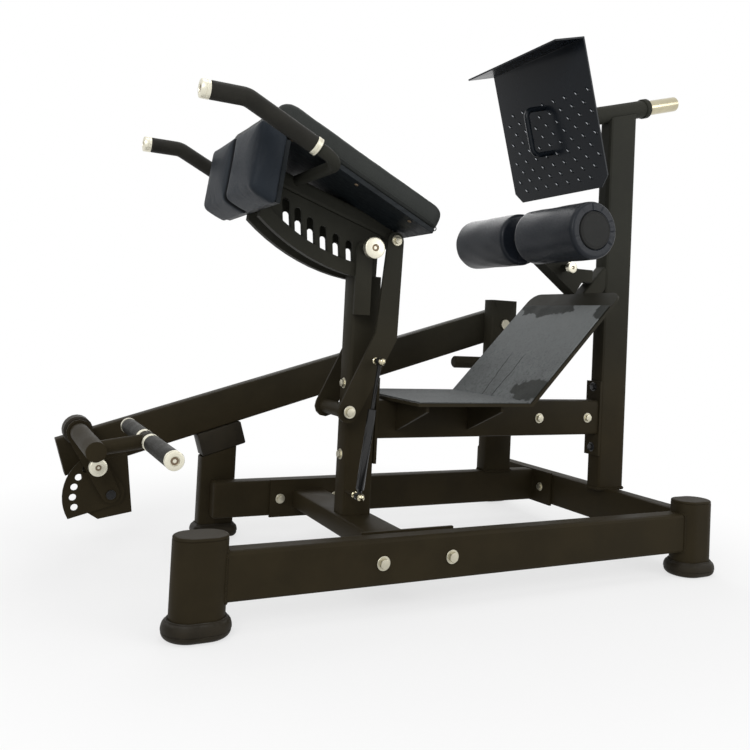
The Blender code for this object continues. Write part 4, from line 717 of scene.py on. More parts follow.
@dataclass(frozen=True)
class Rubber(Finish):
    """Matte rubber: fine cast skin with pale rubbed patches."""

    skin: float = 0.00012
    skin_scale: float = 260.0
    rub: float = 0.35

    def shade(self, graph: Graph, shader: Node) -> None:
        """Wire colour through drift, scuffs and dust, and the skin to the normal."""
        place = graph.place()
        drift = self.drift(graph, place, 1.8, 0.6, 16.0)
        rubbed = graph.effect(Effect.SCUFFS, Vector=place, Scale=22.0, Amount=self.rub)
        colour = graph.mix(rubbed.outputs["Mask"], drift.outputs["Colour"], self.tone(4.0))
        dusting_and_highlight = graph.effect(Effect.TOP_DUSTING_AND_HIGHLIGHT, Vector=place, Colour=colour, Amount=0.12)
        rough = graph.step(drift.outputs["Patch"], 0.0, 1.0, self.roughness - 0.06, self.roughness + 0.05)
        skin = graph.effect(Effect.FINE_GRAIN, Vector=place, Scale=self.skin_scale)
        self.wire(graph, shader, dusting_and_highlight.outputs["Colour"], rough, skin.outputs["Height"], self.skin)


@dataclass(frozen=True)
class Metal(Finish):
    """Bare or plated metal with fine tool lines along one way.

    Attributes:
        stretch: scale of the lines' coordinates along X, Y and Z.
        stain: share of a darker tone in soft patches.
    """

    stretch: Point = (1.0, 0.06, 1.0)
    stain: float = 0.25
    line: float = 0.00002

    def shade(self, graph: Graph, shader: Node) -> None:
        """Wire a full metal whose roughness and height follow its lines."""
        lines = graph.effect(Effect.BRUSHED, Vector=graph.place(scale=self.stretch), Scale=1100.0)
        drift = self.drift(graph, graph.place(), 0.62, self.stain, 26.0)
        shader.inputs["Metallic"].default_value = 1.0
        rough = graph.math("ADD", lines.outputs["Rough"], self.roughness - 0.12)
        self.wire(graph, shader, drift.outputs["Colour"], rough, lines.outputs["Height"], self.line)


@dataclass(frozen=True)
class Board(Finish):
    """Painted plywood: grain that shows through as long soft ridges."""

    def shade(self, graph: Graph, shader: Node) -> None:
        """Wire a stretched noise to colour, roughness and height."""
        place = graph.place(turn=(0.0, -PAD_SLOPE, 0.0), scale=(1.0, 9.0, 9.0))
        ridge = graph.noise(place, 14.0, 6.0, 0.65)
        drift = self.drift(graph, graph.place(), 2.2, 0.5, 9.0)
        colour = graph.mix(graph.step(ridge, 0.45, 0.7, 0.0, 0.5), drift.outputs["Colour"], self.tone(0.5))
        rough = graph.step(ridge, 0.3, 0.7, self.roughness - 0.08, self.roughness + 0.1)
        self.wire(graph, shader, colour, rough, ridge, 0.0002)


@dataclass(frozen=True)
class WornMat(Finish):
    """The foot plate's rubber sheet: fine pebbling, pale wear and two long scratches down the slope.

    Attributes:
        slope: the slanted half's angle, in radians.
        fold: where the sheet folds.
        scratches: across the sheet, each scratch's place, lean and waver.
        patches: rubbed-through places, each an oval's middle up the slope and across, and its two half lengths.
        under: the dark tone that shows in them.
    """

    slope: float = 0.0
    fold: Point = (0.0, 0.0, 0.0)
    scratches: tuple[Point, ...] = ()
    patches: tuple[tuple[float, float, float, float], ...] = ()
    under: Point = (0.024, 0.025, 0.022)

    def shade(self, graph: Graph, shader: Node) -> None:
        """Wire wear, scratches and rubbed-through patches over a pebbled skin."""
        place = graph.place(turn=(0.0, self.slope, 0.0), centre=self.fold)
        along = graph.node("SeparateXYZ", Vector=place).outputs
        drift = self.drift(graph, place, 1.5, 0.75, 12.0)
        rubbed = graph.effect(Effect.SCUFFS, Vector=place, Scale=30.0, Amount=0.5)
        colour = graph.mix(rubbed.outputs["Mask"], drift.outputs["Colour"], self.tone(2.2))
        speckle = graph.step(graph.noise(place, 150.0, 5.0, 0.80), 0.48, 0.66, 0.0, 0.75)
        colour = graph.mix(speckle, colour, self.tone(0.40))
        paler = graph.step(along["X"], 0.06, 0.34, 0.0, 0.65)
        colour = graph.mix(paler, colour, self.tone(2.0))
        colour = graph.mix(self.torn(graph, place), colour, rgba(self.under))
        marks = self.marks(graph, place, along)
        rough = graph.step(drift.outputs["Patch"], 0.0, 1.0, self.roughness - 0.10, self.roughness + 0.08)
        skin = graph.effect(Effect.FINE_GRAIN, Vector=place, Scale=520.0)
        self.wire(graph, shader, graph.mix(marks, colour, self.tone(0.16)), rough,
                  graph.math("SUBTRACT", skin.outputs["Height"], marks), 0.0003)

    def marks(self, graph: Graph, place: Value, along: bpy.types.bpy_prop_collection) -> Value:
        """A mask of the scratches: wavering lines, broken by noise, on the lower part of the slant."""
        waver = graph.math("SUBTRACT", graph.noise(place, 16.0, 4.0, 0.6), 0.5)
        marks: Value = 0.0
        for across, lean, amount in self.scratches:
            line = graph.math("SUBTRACT", graph.math("MULTIPLY_ADD", along["X"], lean, along["Y"]), across)
            line = graph.math("MULTIPLY_ADD", waver, amount, line)
            marks = graph.math("MAXIMUM", marks, graph.step(graph.math("ABSOLUTE", line), 0.0009, 0.0022, 1.0, 0.0))
        broken = graph.step(graph.noise(place, 60.0, 5.0, 0.7), 0.24, 0.38)
        return graph.product(marks, broken, graph.step(along["X"], -0.006, 0.004),
                             graph.step(along["X"], 0.145, 0.175, 1.0, 0.0))

    def torn(self, graph: Graph, place: Value) -> Value:
        """A mask of the rubbed-through places: ovals with ragged edges."""
        torn: Value = 0.0
        ragged = graph.math("MULTIPLY", graph.math("SUBTRACT", graph.noise(place, 22.0, 5.0, 0.65), 0.5), 1.3)
        for lengthwise, across, long, wide in self.patches:
            offset = graph.math("SUBTRACT", place, (lengthwise, across, 0.0), kind="VectorMath")
            scaled = graph.math("MULTIPLY", offset, (1 / long, 1 / wide, 0.0), kind="VectorMath")
            away = graph.math("LENGTH", scaled, kind="VectorMath", output="Value")
            torn = graph.math("MAXIMUM", torn, graph.step(graph.math("ADD", away, ragged), 0.90, 1.02, 0.86, 0.0))
        return torn


# The frame paint's upper tone is painted light that makes its higher parts lighter and greener
PAINT = Paint("satin_black_paint", "frame_paint", (0.0205, 0.0158, 0.0080), 0.54, 0.055, lift=1.35, dusting_and_highlight=0.006,
              upper=(0.0235, 0.0236, 0.0190))
TREAD_PAINT = Paint("tread_plate_paint", "tread_plate", (0.0052, 0.0070, 0.0096), 0.24, 0.17, lift=1.3, dusting_and_highlight=0.01,
                    peel=0.00001)
GLOSS_BLACK = Paint("gloss_black_paint", "gas_black", (0.008, 0.008, 0.008), 0.20, 0.4, peel=0.00001)
HIP_VINYL = Vinyl("hip_pad_vinyl", "hip_vinyl", (0.0250, 0.0272, 0.0252), 0.50, 0.13)
# The chest pads' vinyl carries a painted shade along the parting between them
CHEST_VINYL = Vinyl("chest_pad_vinyl", "chest_vinyl", (0.0150, 0.0190, 0.0245), 0.42, 0.09, parting_shade_y=0.327)
# The rollers' strong pale top tone is a painted highlight along their tops, with a little dusting
ROLLER_VINYL = Vinyl("roller_vinyl", "roller_vinyl", (0.0085, 0.0108, 0.0150), 0.27, 0.20, dusting_and_highlight=0.17)
ROLLER_END = Vinyl("roller_end_vinyl", "roller_vinyl", (0.0215, 0.0218, 0.0210), 0.50, 0.10)
BOARD = Board("painted_board", "board", (0.0052, 0.0072, 0.0086), 0.45, 0.16)
BOOT_RUBBER = Rubber("boot_rubber", "rubber_foot", (0.0140, 0.0112, 0.0068), 0.55, 0.12)
GRIP_RUBBER = Rubber("grip_rubber", "grip", (0.0130, 0.0124, 0.0100), 0.56, 0.12, skin_scale=700.0)
POLISHED = Metal("polished_chrome", "chrome", (0.56, 0.51, 0.36), 0.17, stain=0.30)
ALUMINIUM = Metal("turned_aluminium", "knob_aluminium", (0.76, 0.73, 0.60), 0.36, stretch=(0.5, 1.0, 0.5))
ZINC = Metal("zinc_plate", "chrome", (0.56, 0.53, 0.42), 0.40, stretch=(1.0, 1.0, 1.0), stain=0.5)
# Worn bare steel for the teardrops' crests, pale enough to paint the highlights that the glossy teardrops catch
WORN_STEEL_AND_HIGHLIGHT = Metal("worn_tread_steel_and_highlight", "tread_plate", (0.50, 0.52, 0.55), 0.32, stretch=(1.0, 1.0, 1.0), stain=0.5)
DARK_ZINC = Metal("oiled_screw", "chrome", (0.20, 0.15, 0.10), 0.45, stretch=(1.0, 1.0, 1.0), stain=0.5)


# Places in a solid's own frame
def local_box(node: str, rows: Array) -> tuple[Array, Array]:
    """Give a solid's lowest and highest coordinates along the rows of a basis.

    Args:
        node: the solid.
        rows: (3, 3) basis, one axis in each row.

    Returns:
        Two arrays of three coordinates, measured from the bench's origin.
    """
    along = mesh_points(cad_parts[node].data) @ rows.T
    return along.min(axis=0), along.max(axis=0)


def placed(local: Array, rows: Array) -> Array:
    """Turn coordinates along the rows of a basis into the bench's frame."""
    return np.asarray(local, float) @ rows


def smooth_bump(value: Array, low: float, high: float) -> Array:
    """A smooth step of an array from zero at low to one at high."""
    share = np.clip((value - low) / (high - low), 0, 1)
    return share * share * (3 - 2 * share)


# Steel, boards and other pieces that keep their solid's shape
FINE_EDGE, SOFT_EDGE = 0.0006, 0.0015


@dataclass
class KeptShapes:
    """Pieces whose solids have the right shape, smoothed and given their finish.

    Attributes:
        groups: a moving group, a finish, the width of the rounded edges and the solids' names.
    """

    groups: tuple[tuple[Body, Finish, float, str], ...] = (
        (Body.BASE, PAINT, FINE_EDGE, "rear_left_post near_rail rear_rail right_cross_rail left_cross_tube pad_column "
         "tall_column mid_beam lever_post storage_peg foot_plate plate_strut slide_sleeve roller_socket link_axle "
         "pin_bracket"),
        (Body.LINKS, PAINT, FINE_EDGE, "link_near link_far"),
        (Body.CARRIAGE, PAINT, FINE_EDGE, "notch_plate_near notch_plate_far pad_beam"),
        (Body.LEVER, PAINT, FINE_EDGE, "lever_tube lever_bracket hole_plate"),
        (Body.HAND_BAR, PAINT, FINE_EDGE, "hand_arm hand_bar"),
        (Body.ROLLER_MOUNT, PAINT, FINE_EDGE, "roller_arm"),
        (Body.BACK_PLATE, TREAD_PAINT, FINE_EDGE, "back_plate"),
        (Body.BACK_PLATE, POLISHED, FINE_EDGE, "slide_tube"),
        (Body.BASE, BOOT_RUBBER, SOFT_EDGE, "lever_saddle"),
        (Body.HAND_BAR, BOOT_RUBBER, FINE_EDGE, "hand_hub"),
        (Body.CARRIAGE, BOARD, SOFT_EDGE, "hip_board chest_board"),
        (Body.GAS_BODY, GLOSS_BLACK, FINE_EDGE, "gas_cylinder"),
        (Body.GAS_PISTON, GLOSS_BLACK, 0.0, "gas_rod"),
        (Body.LINKS, ZINC, FINE_EDGE, "link_top_bolt"),
        (Body.BASE, ZINC, FINE_EDGE, "lever_pivot_bolt"),
        (Body.LEVER, GLOSS_BLACK, FINE_EDGE, "hand_pivot_bolt"))

    def build(self) -> None:
        """Smooth and dress every kept shape."""
        for body, finish, edge, names in self.groups:
            for node in names.split():
                smoothed(node, body, finish, edge)


@dataclass
class Boots:
    """Flared rubber boots that the four posts stand in.

    Attributes:
        posts: the corner radius of each post's section.
        flare: how far the bulge stands out from the post.
        lip: how far the collar does.
        foot: how far the seat does; it is drawn in.
        top: the collar's height.
        fit: the gap between collar and post.
    """

    posts: dict[str, float] = field(default_factory=lambda: {
        "near_left": 0.0397, "near_right": 0.0397, "rear_right": 0.0397, "rear_left": 0.008})
    flare: float = 0.0135
    lip: float = 0.0048
    foot: float = -0.0030
    top: float = 0.0385
    fit: float = 0.0003

    def profile(self, height: float, seat: float) -> Array:
        """The boot's (height, margin) pairs: a tapered foot, a rounded bulge with a moulded step, and a collar.

        Both parts are quarter ellipses: margin = least + span * the square root of one less share squared.
        """
        share = np.linspace(0, 1, 9)
        foot_height, step_height = height * 0.36, height * 0.44
        foot = np.stack([foot_height * (1 - share[::-1]),
                         self.foot + (self.flare * 0.93 - self.foot) * np.sqrt(1 - share[::-1] ** 2)], axis=1)
        bulge = np.stack([step_height + (height - 0.004 - step_height) * share,
                          self.lip + (self.flare - self.lip) * np.sqrt(1 - (share * 0.985) ** 2)], axis=1)
        step = [(foot_height + 0.0006, self.flare * 0.86), (step_height - 0.0010, self.flare * 0.86)]
        roll = [(height - 0.003, self.lip), (height - 0.0008, self.lip - 0.0008), (height, self.lip - 0.0024),
                (height - 0.0006, self.fit), (seat, self.fit)]
        return np.concatenate([foot, step, bulge, roll])

    def build(self) -> None:
        """Make each boot round its post."""
        for place, corner in self.posts.items():
            low, high = node_box(place + "_post")
            _, foot_high = node_box(place + "_foot")
            rings = self.profile(min(self.top, foot_high[2]), low[2])
            boot = lofted(place + "_boot", low, high, rings, corner, 12)
            dress(boot, Body.BASE, BOOT_RUBBER, place + "_foot")


@dataclass
class OvalPosts:
    """The three stadium-shaped corner posts, each closed by a lid that is let into its rim.

    Attributes:
        rim: (distance below the top, margin) pairs from the wall over the groove to the lid's middle.
    """

    names: tuple[str, ...] = ("near_left", "near_right", "rear_right")
    corner: float = 0.0397
    rim: tuple[Pair, ...] = (
        (0.0085, 0.0), (0.0072, -0.0003), (0.0064, -0.0014), (0.0056, -0.0016), (0.0050, -0.0006),
        (0.0042, -0.0002), (0.0026, -0.0006), (0.0012, -0.0016), (0.0003, -0.0034), (0.0, -0.0056),
        (0.0004, -0.0160), (0.0006, -0.0300))

    def build(self) -> None:
        """Make each post, with its lid."""
        for name in self.names:
            low, high = node_box(name + "_post")
            rings = [(low[2], -0.001), (low[2] + 0.001, 0.0)] + [(high[2] - down, margin) for down, margin in self.rim]
            post = lofted(name + "_post_lidded", low, high, rings, self.corner, 16)
            dress(post, Body.BASE, PAINT, name + "_post")


@dataclass
class RailPlug:
    """The rounded plug that closes the rear rail's free end."""

    out: float = 0.006
    corner: float = 0.012
    tube: Pair = (0.050, 0.100)
    rail_y: float = 0.654
    skin: float = 0.0004

    def build(self) -> None:
        """Make the plug: loops of the tube's section, drawn in along a quarter circle as they go out."""
        low, high = node_box("rear_rail")
        turn = np.linspace(0, math.pi / 2, 7)
        rings = [(-0.012, self.skin), (0.0, self.skin)]
        rings += [(self.out * math.sin(step), self.skin - self.out * (1 - math.cos(step))) for step in turn]
        rings += [(self.out, -0.015), (self.out, -0.0235)]
        grid = np.empty((len(rings), 36, 3))
        for number, (away, margin) in enumerate(rings):
            wide, tall = (size + 2 * margin for size in self.tube)
            grid[number, :, 0] = low[0] - away
            grid[number, :, 1:] = rounded_loop(wide, tall, max(self.corner + margin, 0.001), 8)
        grid[..., 1:] += (self.rail_y, (low[2] + high[2]) / 2)
        dress(surface("rear_rail_plug", grid), Body.BASE, PAINT)


# Upholstery
@dataclass
class Upholstery:
    """The hip pad and the two chest pads, as crowned vinyl over foam.

    Attributes:
        lean: the chest pads' lean, in radians.
        corner: corner radius of the hip pad's outline, and of a chest pad's.
        edge: radius of the rounding round the face of each.
        crown: how far the middle of a face stands above its edge.
        draw: how far the sides pull in between corners.
        full: how far a pad's upper end stands out past its solid.
        proud: how far the hip pad's face and a chest pad's stand above their solids.
        bulge: how far the side band swells.
        parting: the gap that each chest pad leaves at the middle.
        welt: radius of the sewn welt.
        cells: for each, the edge length of the even mesh in the simulation and the furthest that a point moves.
    """

    lean: float = math.radians(7.2)
    corner: Pair = (0.040, 0.015)
    edge: Pair = (0.015, 0.0115)
    crown: float = 0.0060
    draw: float = 0.0022
    full: float = 0.0090
    proud: Pair = (0.0020, 0.0030)
    bulge: float = 0.0012
    parting: float = 0.0022
    welt: float = 0.0011
    cells: tuple[Pair, Pair] = ((0.0062, 0.004), (0.004, 0.0012))

    def rings(self, thick: float, edge: float, reach: float) -> Array:
        """(inset, height) pairs from the underside's middle, round the side band, to the crown's middle."""
        turn = np.linspace(0, math.pi / 2, 7)
        low_edge = edge * 0.45
        lower = np.stack([low_edge * (1 - np.sin(turn)), low_edge * (1 - np.cos(turn))], axis=1)
        band = np.linspace(low_edge, thick - edge, 5)[1:-1]
        side = np.stack([-self.bulge * np.sin(math.pi * (band - low_edge) / (thick - edge - low_edge)), band], axis=1)
        upper = np.stack([edge * (1 - np.cos(turn)), thick - edge + edge * np.sin(turn)], axis=1)
        inward = np.linspace(0, 1, 14)[1:]
        top = np.stack([edge + inward * (reach - edge),
                        thick + self.crown * (1 - (1 - inward) ** 2.4)], axis=1)
        under = np.stack([np.linspace(reach, low_edge, 6)[:-1], np.zeros(5)], axis=1)
        return np.concatenate([under, lower, side, upper, top])

    def slab(self, name: str, low: Array, high: Array, rows: Array, corner: float, edge: float) -> Piece:
        """A padded slab in the frame of a basis, its third axis pointing out of the cushioned face.

        A point is loop(v) drawn in by inset(u) and by draw * (1 - share ** 2) along each side,
        at height(u) along the third axis.
        """
        length, width = (high - low)[:2]
        thick = high[2] - low[2] - self.crown
        pairs = self.rings(thick, edge, min(length, width) / 2 - 0.004)
        centre = (low + high) / 2
        rings = []
        for inset, height in pairs:
            loop = rounded_loop(length - 2 * inset, width - 2 * inset, max(corner - inset, 0.002), 10)
            share = np.abs(loop) / (np.array([length, width]) / 2)
            side = share[:, 0] < share[:, 1]
            pull = np.where(side, 1 - share[:, 0] ** 2, 1 - share[:, 1] ** 2) * self.draw
            outward = np.where(side[:, None], [[0.0, 1.0]], [[1.0, 0.0]]) * np.sign(loop)
            fade = max(0.0, 1 - inset / 0.08)
            loop = loop - outward * pull[:, None] * fade
            rings.append(np.concatenate([loop + centre[:2], np.full((len(loop), 1), low[2] + height)], axis=1))
        return surface(name, placed(np.array(rings), rows))

    def welted(self, name: str, low: Array, high: Array, rows: Array) -> Piece:
        """A fine sewn welt that runs once round the hip pad: a circle carried along it, puckered by stitches."""
        inset = 0.0004
        loop = rounded_loop(*(high - low - 2 * inset)[:2], self.corner[0] - inset, 10)
        height = np.full((len(loop), 1), low[2] + self.edge[0] * 0.5)
        flat = np.concatenate([loop + ((low + high) / 2)[:2], height], axis=1)
        path = placed(resampled(np.concatenate([flat, flat[:1]]), 0.0016)[:-1], rows)
        swell = 1 + 0.22 * np.cos(2 * math.pi * np.arange(len(path)) / 4)
        return swept(name, path, circle(self.welt, 8), tuple(rows[2]), Ends.LOOP, swell)

    def build(self) -> None:
        """Make, fill and dress the pads."""
        rows = pad_rows()
        low, high = local_box("hip_pad", rows)
        low[0] -= self.full
        high[2] += self.proud[0]
        pad = self.slab("hip_pad_cushion", low, high, rows, self.corner[0], self.edge[0])
        filled(pad, *self.cells[0])
        dress(pad, Body.CARRIAGE, HIP_VINYL, "hip_pad")
        dress(self.welted("hip_pad_seam", low, high, rows), Body.CARRIAGE, HIP_VINYL)

        forward = basis((0, 1, 0), (-math.sin(self.lean), 0, -math.cos(self.lean)))
        for node, inner, way in (("chest_pad_near", 1, -1), ("chest_pad_far", 0, 1)):
            pad = self.chest_pad(node, inner, way, forward)
            filled(pad, *self.cells[1])
            dress(pad, Body.CARRIAGE, CHEST_VINYL, node)

    def chest_pad(self, node: str, inner: int, way: int, rows: Array) -> Piece:
        """One chest pad: a slab sheared along its height so that its top runs on in the hip pad's slope.

        Args:
            node: the solid that it stands for.
            inner: which corner of its box lies at the bench's middle, 0 for the lowest.
            way: +1 or -1, the way from the middle to the pad.
            rows: its basis.

        Returns:
            The pad.
        """
        box = local_box(node, rows)
        low, high = box
        shear = math.tan(PAD_SLOPE - self.lean)
        low[1] += shear * (high[2] - low[2]) - self.full
        high[2] += self.proud[1]
        box[inner][0] += way * self.parting
        pad = self.slab(node + "_cushion", low, high, rows, self.corner[1], self.edge[1])
        local = mesh_points(pad.data) @ rows.T
        local[:, 1] -= shear * (local[:, 2] - low[2])
        pad.data.vertices.foreach_set("co", placed(local, rows).ravel())
        return pad


CLOTH_FRAMES = 20
CLOTH_PRESSURE = 4.0


def filled(pad: Piece, voxel: float, cap: float) -> None:
    """Let a pad swell under its stuffing with a short cloth simulation, then smooth it.

    Args:
        pad: a closed slab; its mesh is replaced.
        voxel: edge length of the even mesh that is simulated.
        cap: the furthest that a point may move.
    """
    even = pad.modifiers.new("even", "REMESH")
    even.mode = "VOXEL"
    even.voxel_size = voxel
    apply_modifiers(pad)
    rest = mesh_points(pad.data)
    scene = bpy.context.scene
    scene.frame_start, scene.frame_end = 1, CLOTH_FRAMES
    cloth = pad.modifiers.new("stuffing", "CLOTH")
    cloth.settings.use_pressure = True
    cloth.settings.uniform_pressure_force = CLOTH_PRESSURE
    cloth.settings.effector_weights.gravity = 0.0
    cloth.settings.quality = 4
    cloth.collision_settings.use_self_collision = False
    for step in range(1, CLOTH_FRAMES + 1):
        scene.frame_set(step)
    evaluated = pad.evaluated_get(bpy.context.evaluated_depsgraph_get())
    moved = mesh_points(evaluated.data) - rest
    length = np.linalg.norm(moved, axis=1, keepdims=True)
    moved *= np.minimum(1, cap / np.maximum(length, 1e-9))
    pad.modifiers.remove(cloth)
    scene.frame_set(1)
    pad.data.vertices.foreach_set("co", (rest + moved).ravel())
    relax = pad.modifiers.new("relaxed", "SMOOTH")
    relax.factor, relax.iterations = 0.5, 4
    apply_modifiers(pad)
    pad.data.shade_smooth()
    finer = pad.modifiers.new("finer", "SUBSURF")
    finer.levels = finer.render_levels = 1


def apply_modifiers(item: Piece) -> None:
    """Make an object's evaluated mesh its own and drop its modifiers."""
    bpy.context.view_layer.update()
    evaluated = item.evaluated_get(bpy.context.evaluated_depsgraph_get())
    mesh = bpy.data.meshes.new_from_object(evaluated)
    item.modifiers.clear()
    item.data = mesh


# Ankle rollers
@dataclass
class Roller:
    """One vinyl-covered foam roller with gathered ends and a cap.

    Attributes:
        node: the solid that it stands for.
        outward: +1 or -1, the way along Y from the bench's middle to the roller's outer end.
        pleats: how many gathers run round an end.
        edge: radius of the rounding between side and ends.
        sunk: how far the gathered end lies inside the roller's length.
        gather: how deep a gather is.
    """

    node: str
    body: Body
    outward: int
    pleats: int = 11
    radius: float = 0.076
    edge: float = 0.011
    sunk: float = 0.0035
    cap_radius: float = 0.0490
    gather: float = 0.0019
    steps: int = 208

    def profile(self, length: float) -> Array:
        """(radius, distance) pairs from the outer end's middle, over the body, to the inner end's middle."""
        turn = np.linspace(0, math.pi / 2, 9)
        outer = np.stack([self.radius - self.edge + self.edge * np.sin(turn),
                          self.sunk + self.edge - self.edge * np.cos(turn)], axis=1)
        body = np.linspace(self.edge + 0.006, length - self.edge - 0.006, 40)
        side = np.stack([np.full(40, self.radius), body], axis=1)
        inner = np.stack([outer[::-1, 0], length - outer[::-1, 1] + self.sunk], axis=1)
        ring = np.linspace(self.cap_radius + 0.0034, self.radius - self.edge, 9)[:-1]
        face = np.stack([ring, np.full(8, self.sunk)], axis=1)
        back = np.stack([ring[::-1], np.full(8, length)], axis=1)
        middle = [(0.001, 0.0085), (self.cap_radius + 0.0012, 0.0085), (self.cap_radius + 0.0016, 0.0050)]
        hub = [(0.020, length), (0.019, length - 0.004), (0.001, length - 0.004)]
        return np.concatenate([middle, face, outer, side, inner, back, hub])

    def build(self) -> None:
        """Make the roller: the profile turned about Y, with folds on its ends and soft waves on its side."""
        low, high = node_box(self.node)
        centre = (low + high) / 2
        length = high[1] - low[1]
        start = np.array([centre[0], high[1] if self.outward > 0 else low[1], centre[2]])
        pairs = self.profile(length)
        angle = np.linspace(0, 2 * math.pi, self.steps, endpoint=False)[None, :]
        radius, along = pairs[:, :1], pairs[:, 1:]
        wobble = 0.30 * np.sin(3 * angle) + 0.22 * np.sin(5 * angle + 1.0)
        turn = self.pleats * angle / 2 + wobble
        fold = np.exp(-(np.sin(turn) / 0.16) ** 2) + 0.22 * np.sin(turn * 2 + 0.7) ** 2
        uneven = 0.5 + 0.38 * np.sin(angle + 2.4) + 0.22 * np.sin(3 * angle + 0.4)
        fold = fold * np.clip(uneven, 0.08, 1.0)
        on_end = smooth_bump(radius, self.cap_radius + 0.001, self.cap_radius + 0.007)
        on_end = on_end * (1 - smooth_bump(radius, self.radius - self.edge * 0.7, self.radius - 0.0005))
        near_edge = 1 - smooth_bump(np.minimum(along, length - along), 0.004, 0.024)
        wave = 0.00035 * np.sin(4 * angle + 40 * along) + 0.00025 * np.sin(9 * angle - 70 * along)
        inward = np.where(along < length / 2, 1.0, -1.0)
        depth = along + inward * self.gather * fold * on_end
        outer = smooth_bump(radius, 0.070, 0.0755)
        reach = radius - 0.0010 * fold * near_edge * outer + (wave - 0.0008) * outer
        rows = basis((0, -self.outward, 0), (1, 0, 0))
        grid = (start + depth[..., None] * rows[0] + (reach * np.cos(angle))[..., None] * rows[1]
                + (reach * np.sin(angle))[..., None] * rows[2])
        roller = surface(self.node + "_cover", grid)
        dress(roller, self.body, ROLLER_VINYL, self.node)
        cap = [(0.0, 0.0), (self.cap_radius - 0.010, 0.0), (self.cap_radius - 0.006, 0.0003),
               (self.cap_radius - 0.0045, 0.0012), (self.cap_radius - 0.003, 0.0004),
               (self.cap_radius - 0.001, 0.0012), (self.cap_radius, 0.0035), (self.cap_radius, 0.0080), (0.0, 0.0080)]
        dress(turned(self.node + "_cap", cap, start, rows[0], 72), self.body, ROLLER_END)


# Hand grips, caps, collars and knobs
HEAD_STEPS = 48


def hexagon(reach: float) -> Array:
    """Radii that follow a hexagon round a full turn: reach / cos(angle modulo a sixth of a turn)."""
    angle = np.linspace(0, 2 * math.pi, HEAD_STEPS, endpoint=False)
    sixth = math.pi / 3
    return reach / np.cos(angle % sixth - sixth / 2)


def head(name: str, place: Array | Point, out: Array | Point, rings: list[tuple[float | Array, float]]) -> Piece:
    """Make a screw's or a bolt's head of rings, each given by its radii and its distance out.

    A point is place + distance(u) * out + radius(u, v) * ring(v).
    """
    rows = basis(out, LEAN)
    ring = ring_about(rows, HEAD_STEPS)
    return surface(name, np.array([np.asarray(place) + rise * rows[0] + np.full(HEAD_STEPS, reach)[:, None] * ring
                                   for reach, rise in rings]))


def hex_socket(name: str, centre: Array, out: Array, radius: float, deep: float) -> Piece:
    """A six-sided recess in a round disc: rings of points whose radius follows a hexagon inside."""
    flat = hexagon(radius * 0.45)
    return head(name, centre, out, [
        (radius, -0.004), (radius, 0.0004), (radius - 0.0008, 0.0010), (flat + 0.0006, 0.0010), (flat, 0.0004),
        (flat, -deep), (flat * 0.1, -deep)])


def drawn_in(along: Array) -> Array:
    """The scale of a grip's section along it: a little less near its ends."""
    return 0.93 + 0.07 * smooth_bump(np.minimum(along, along[-1] - along), 0.0, 0.003)


def end_cap(name: str, tip: Array, out: Array, radius: float, length: float, body: Body) -> None:
    """An aluminium cap on a grip's end, with a hexagon screw sunk in its face.

    Args:
        name: the cap's name.
        tip: the middle of its outer face.
        out: the way that it faces.
        radius: its outer radius.
        length: its length.
        body: the group that it rides on.
    """
    profile = [(0.0, 0.0022), (radius * 0.46, 0.0022), (radius * 0.50, 0.0), (radius * 0.82, 0.0),
               (radius * 0.95, 0.0007), (radius, 0.0024), (radius, length * 0.55), (radius * 0.975, length * 0.58),
               (radius * 0.975, length * 0.64), (radius, length * 0.67), (radius, length), (0.0, length)]
    dress(turned(name, profile, tip, -np.asarray(out), 56), body, ALUMINIUM)
    screw = hex_socket(name + "_screw", np.asarray(tip) - 0.0022 * np.asarray(out), out, radius * 0.42, 0.0035)
    dress(screw, body, DARK_ZINC)


def collar(name: str, start: Array, along: Array, radius: float, length: float, body: Body) -> None:
    """A turned ring round a bar, with broken edges and one groove."""
    profile = [(radius * 0.6, 0.0), (radius - 0.0012, 0.0), (radius, 0.0012), (radius, length * 0.44),
               (radius - 0.0008, length * 0.47), (radius - 0.0008, length * 0.53), (radius, length * 0.56),
               (radius, length - 0.0012), (radius - 0.0012, length), (radius * 0.6, length)]
    dress(turned(name, profile, start, along, 56), body, ALUMINIUM)


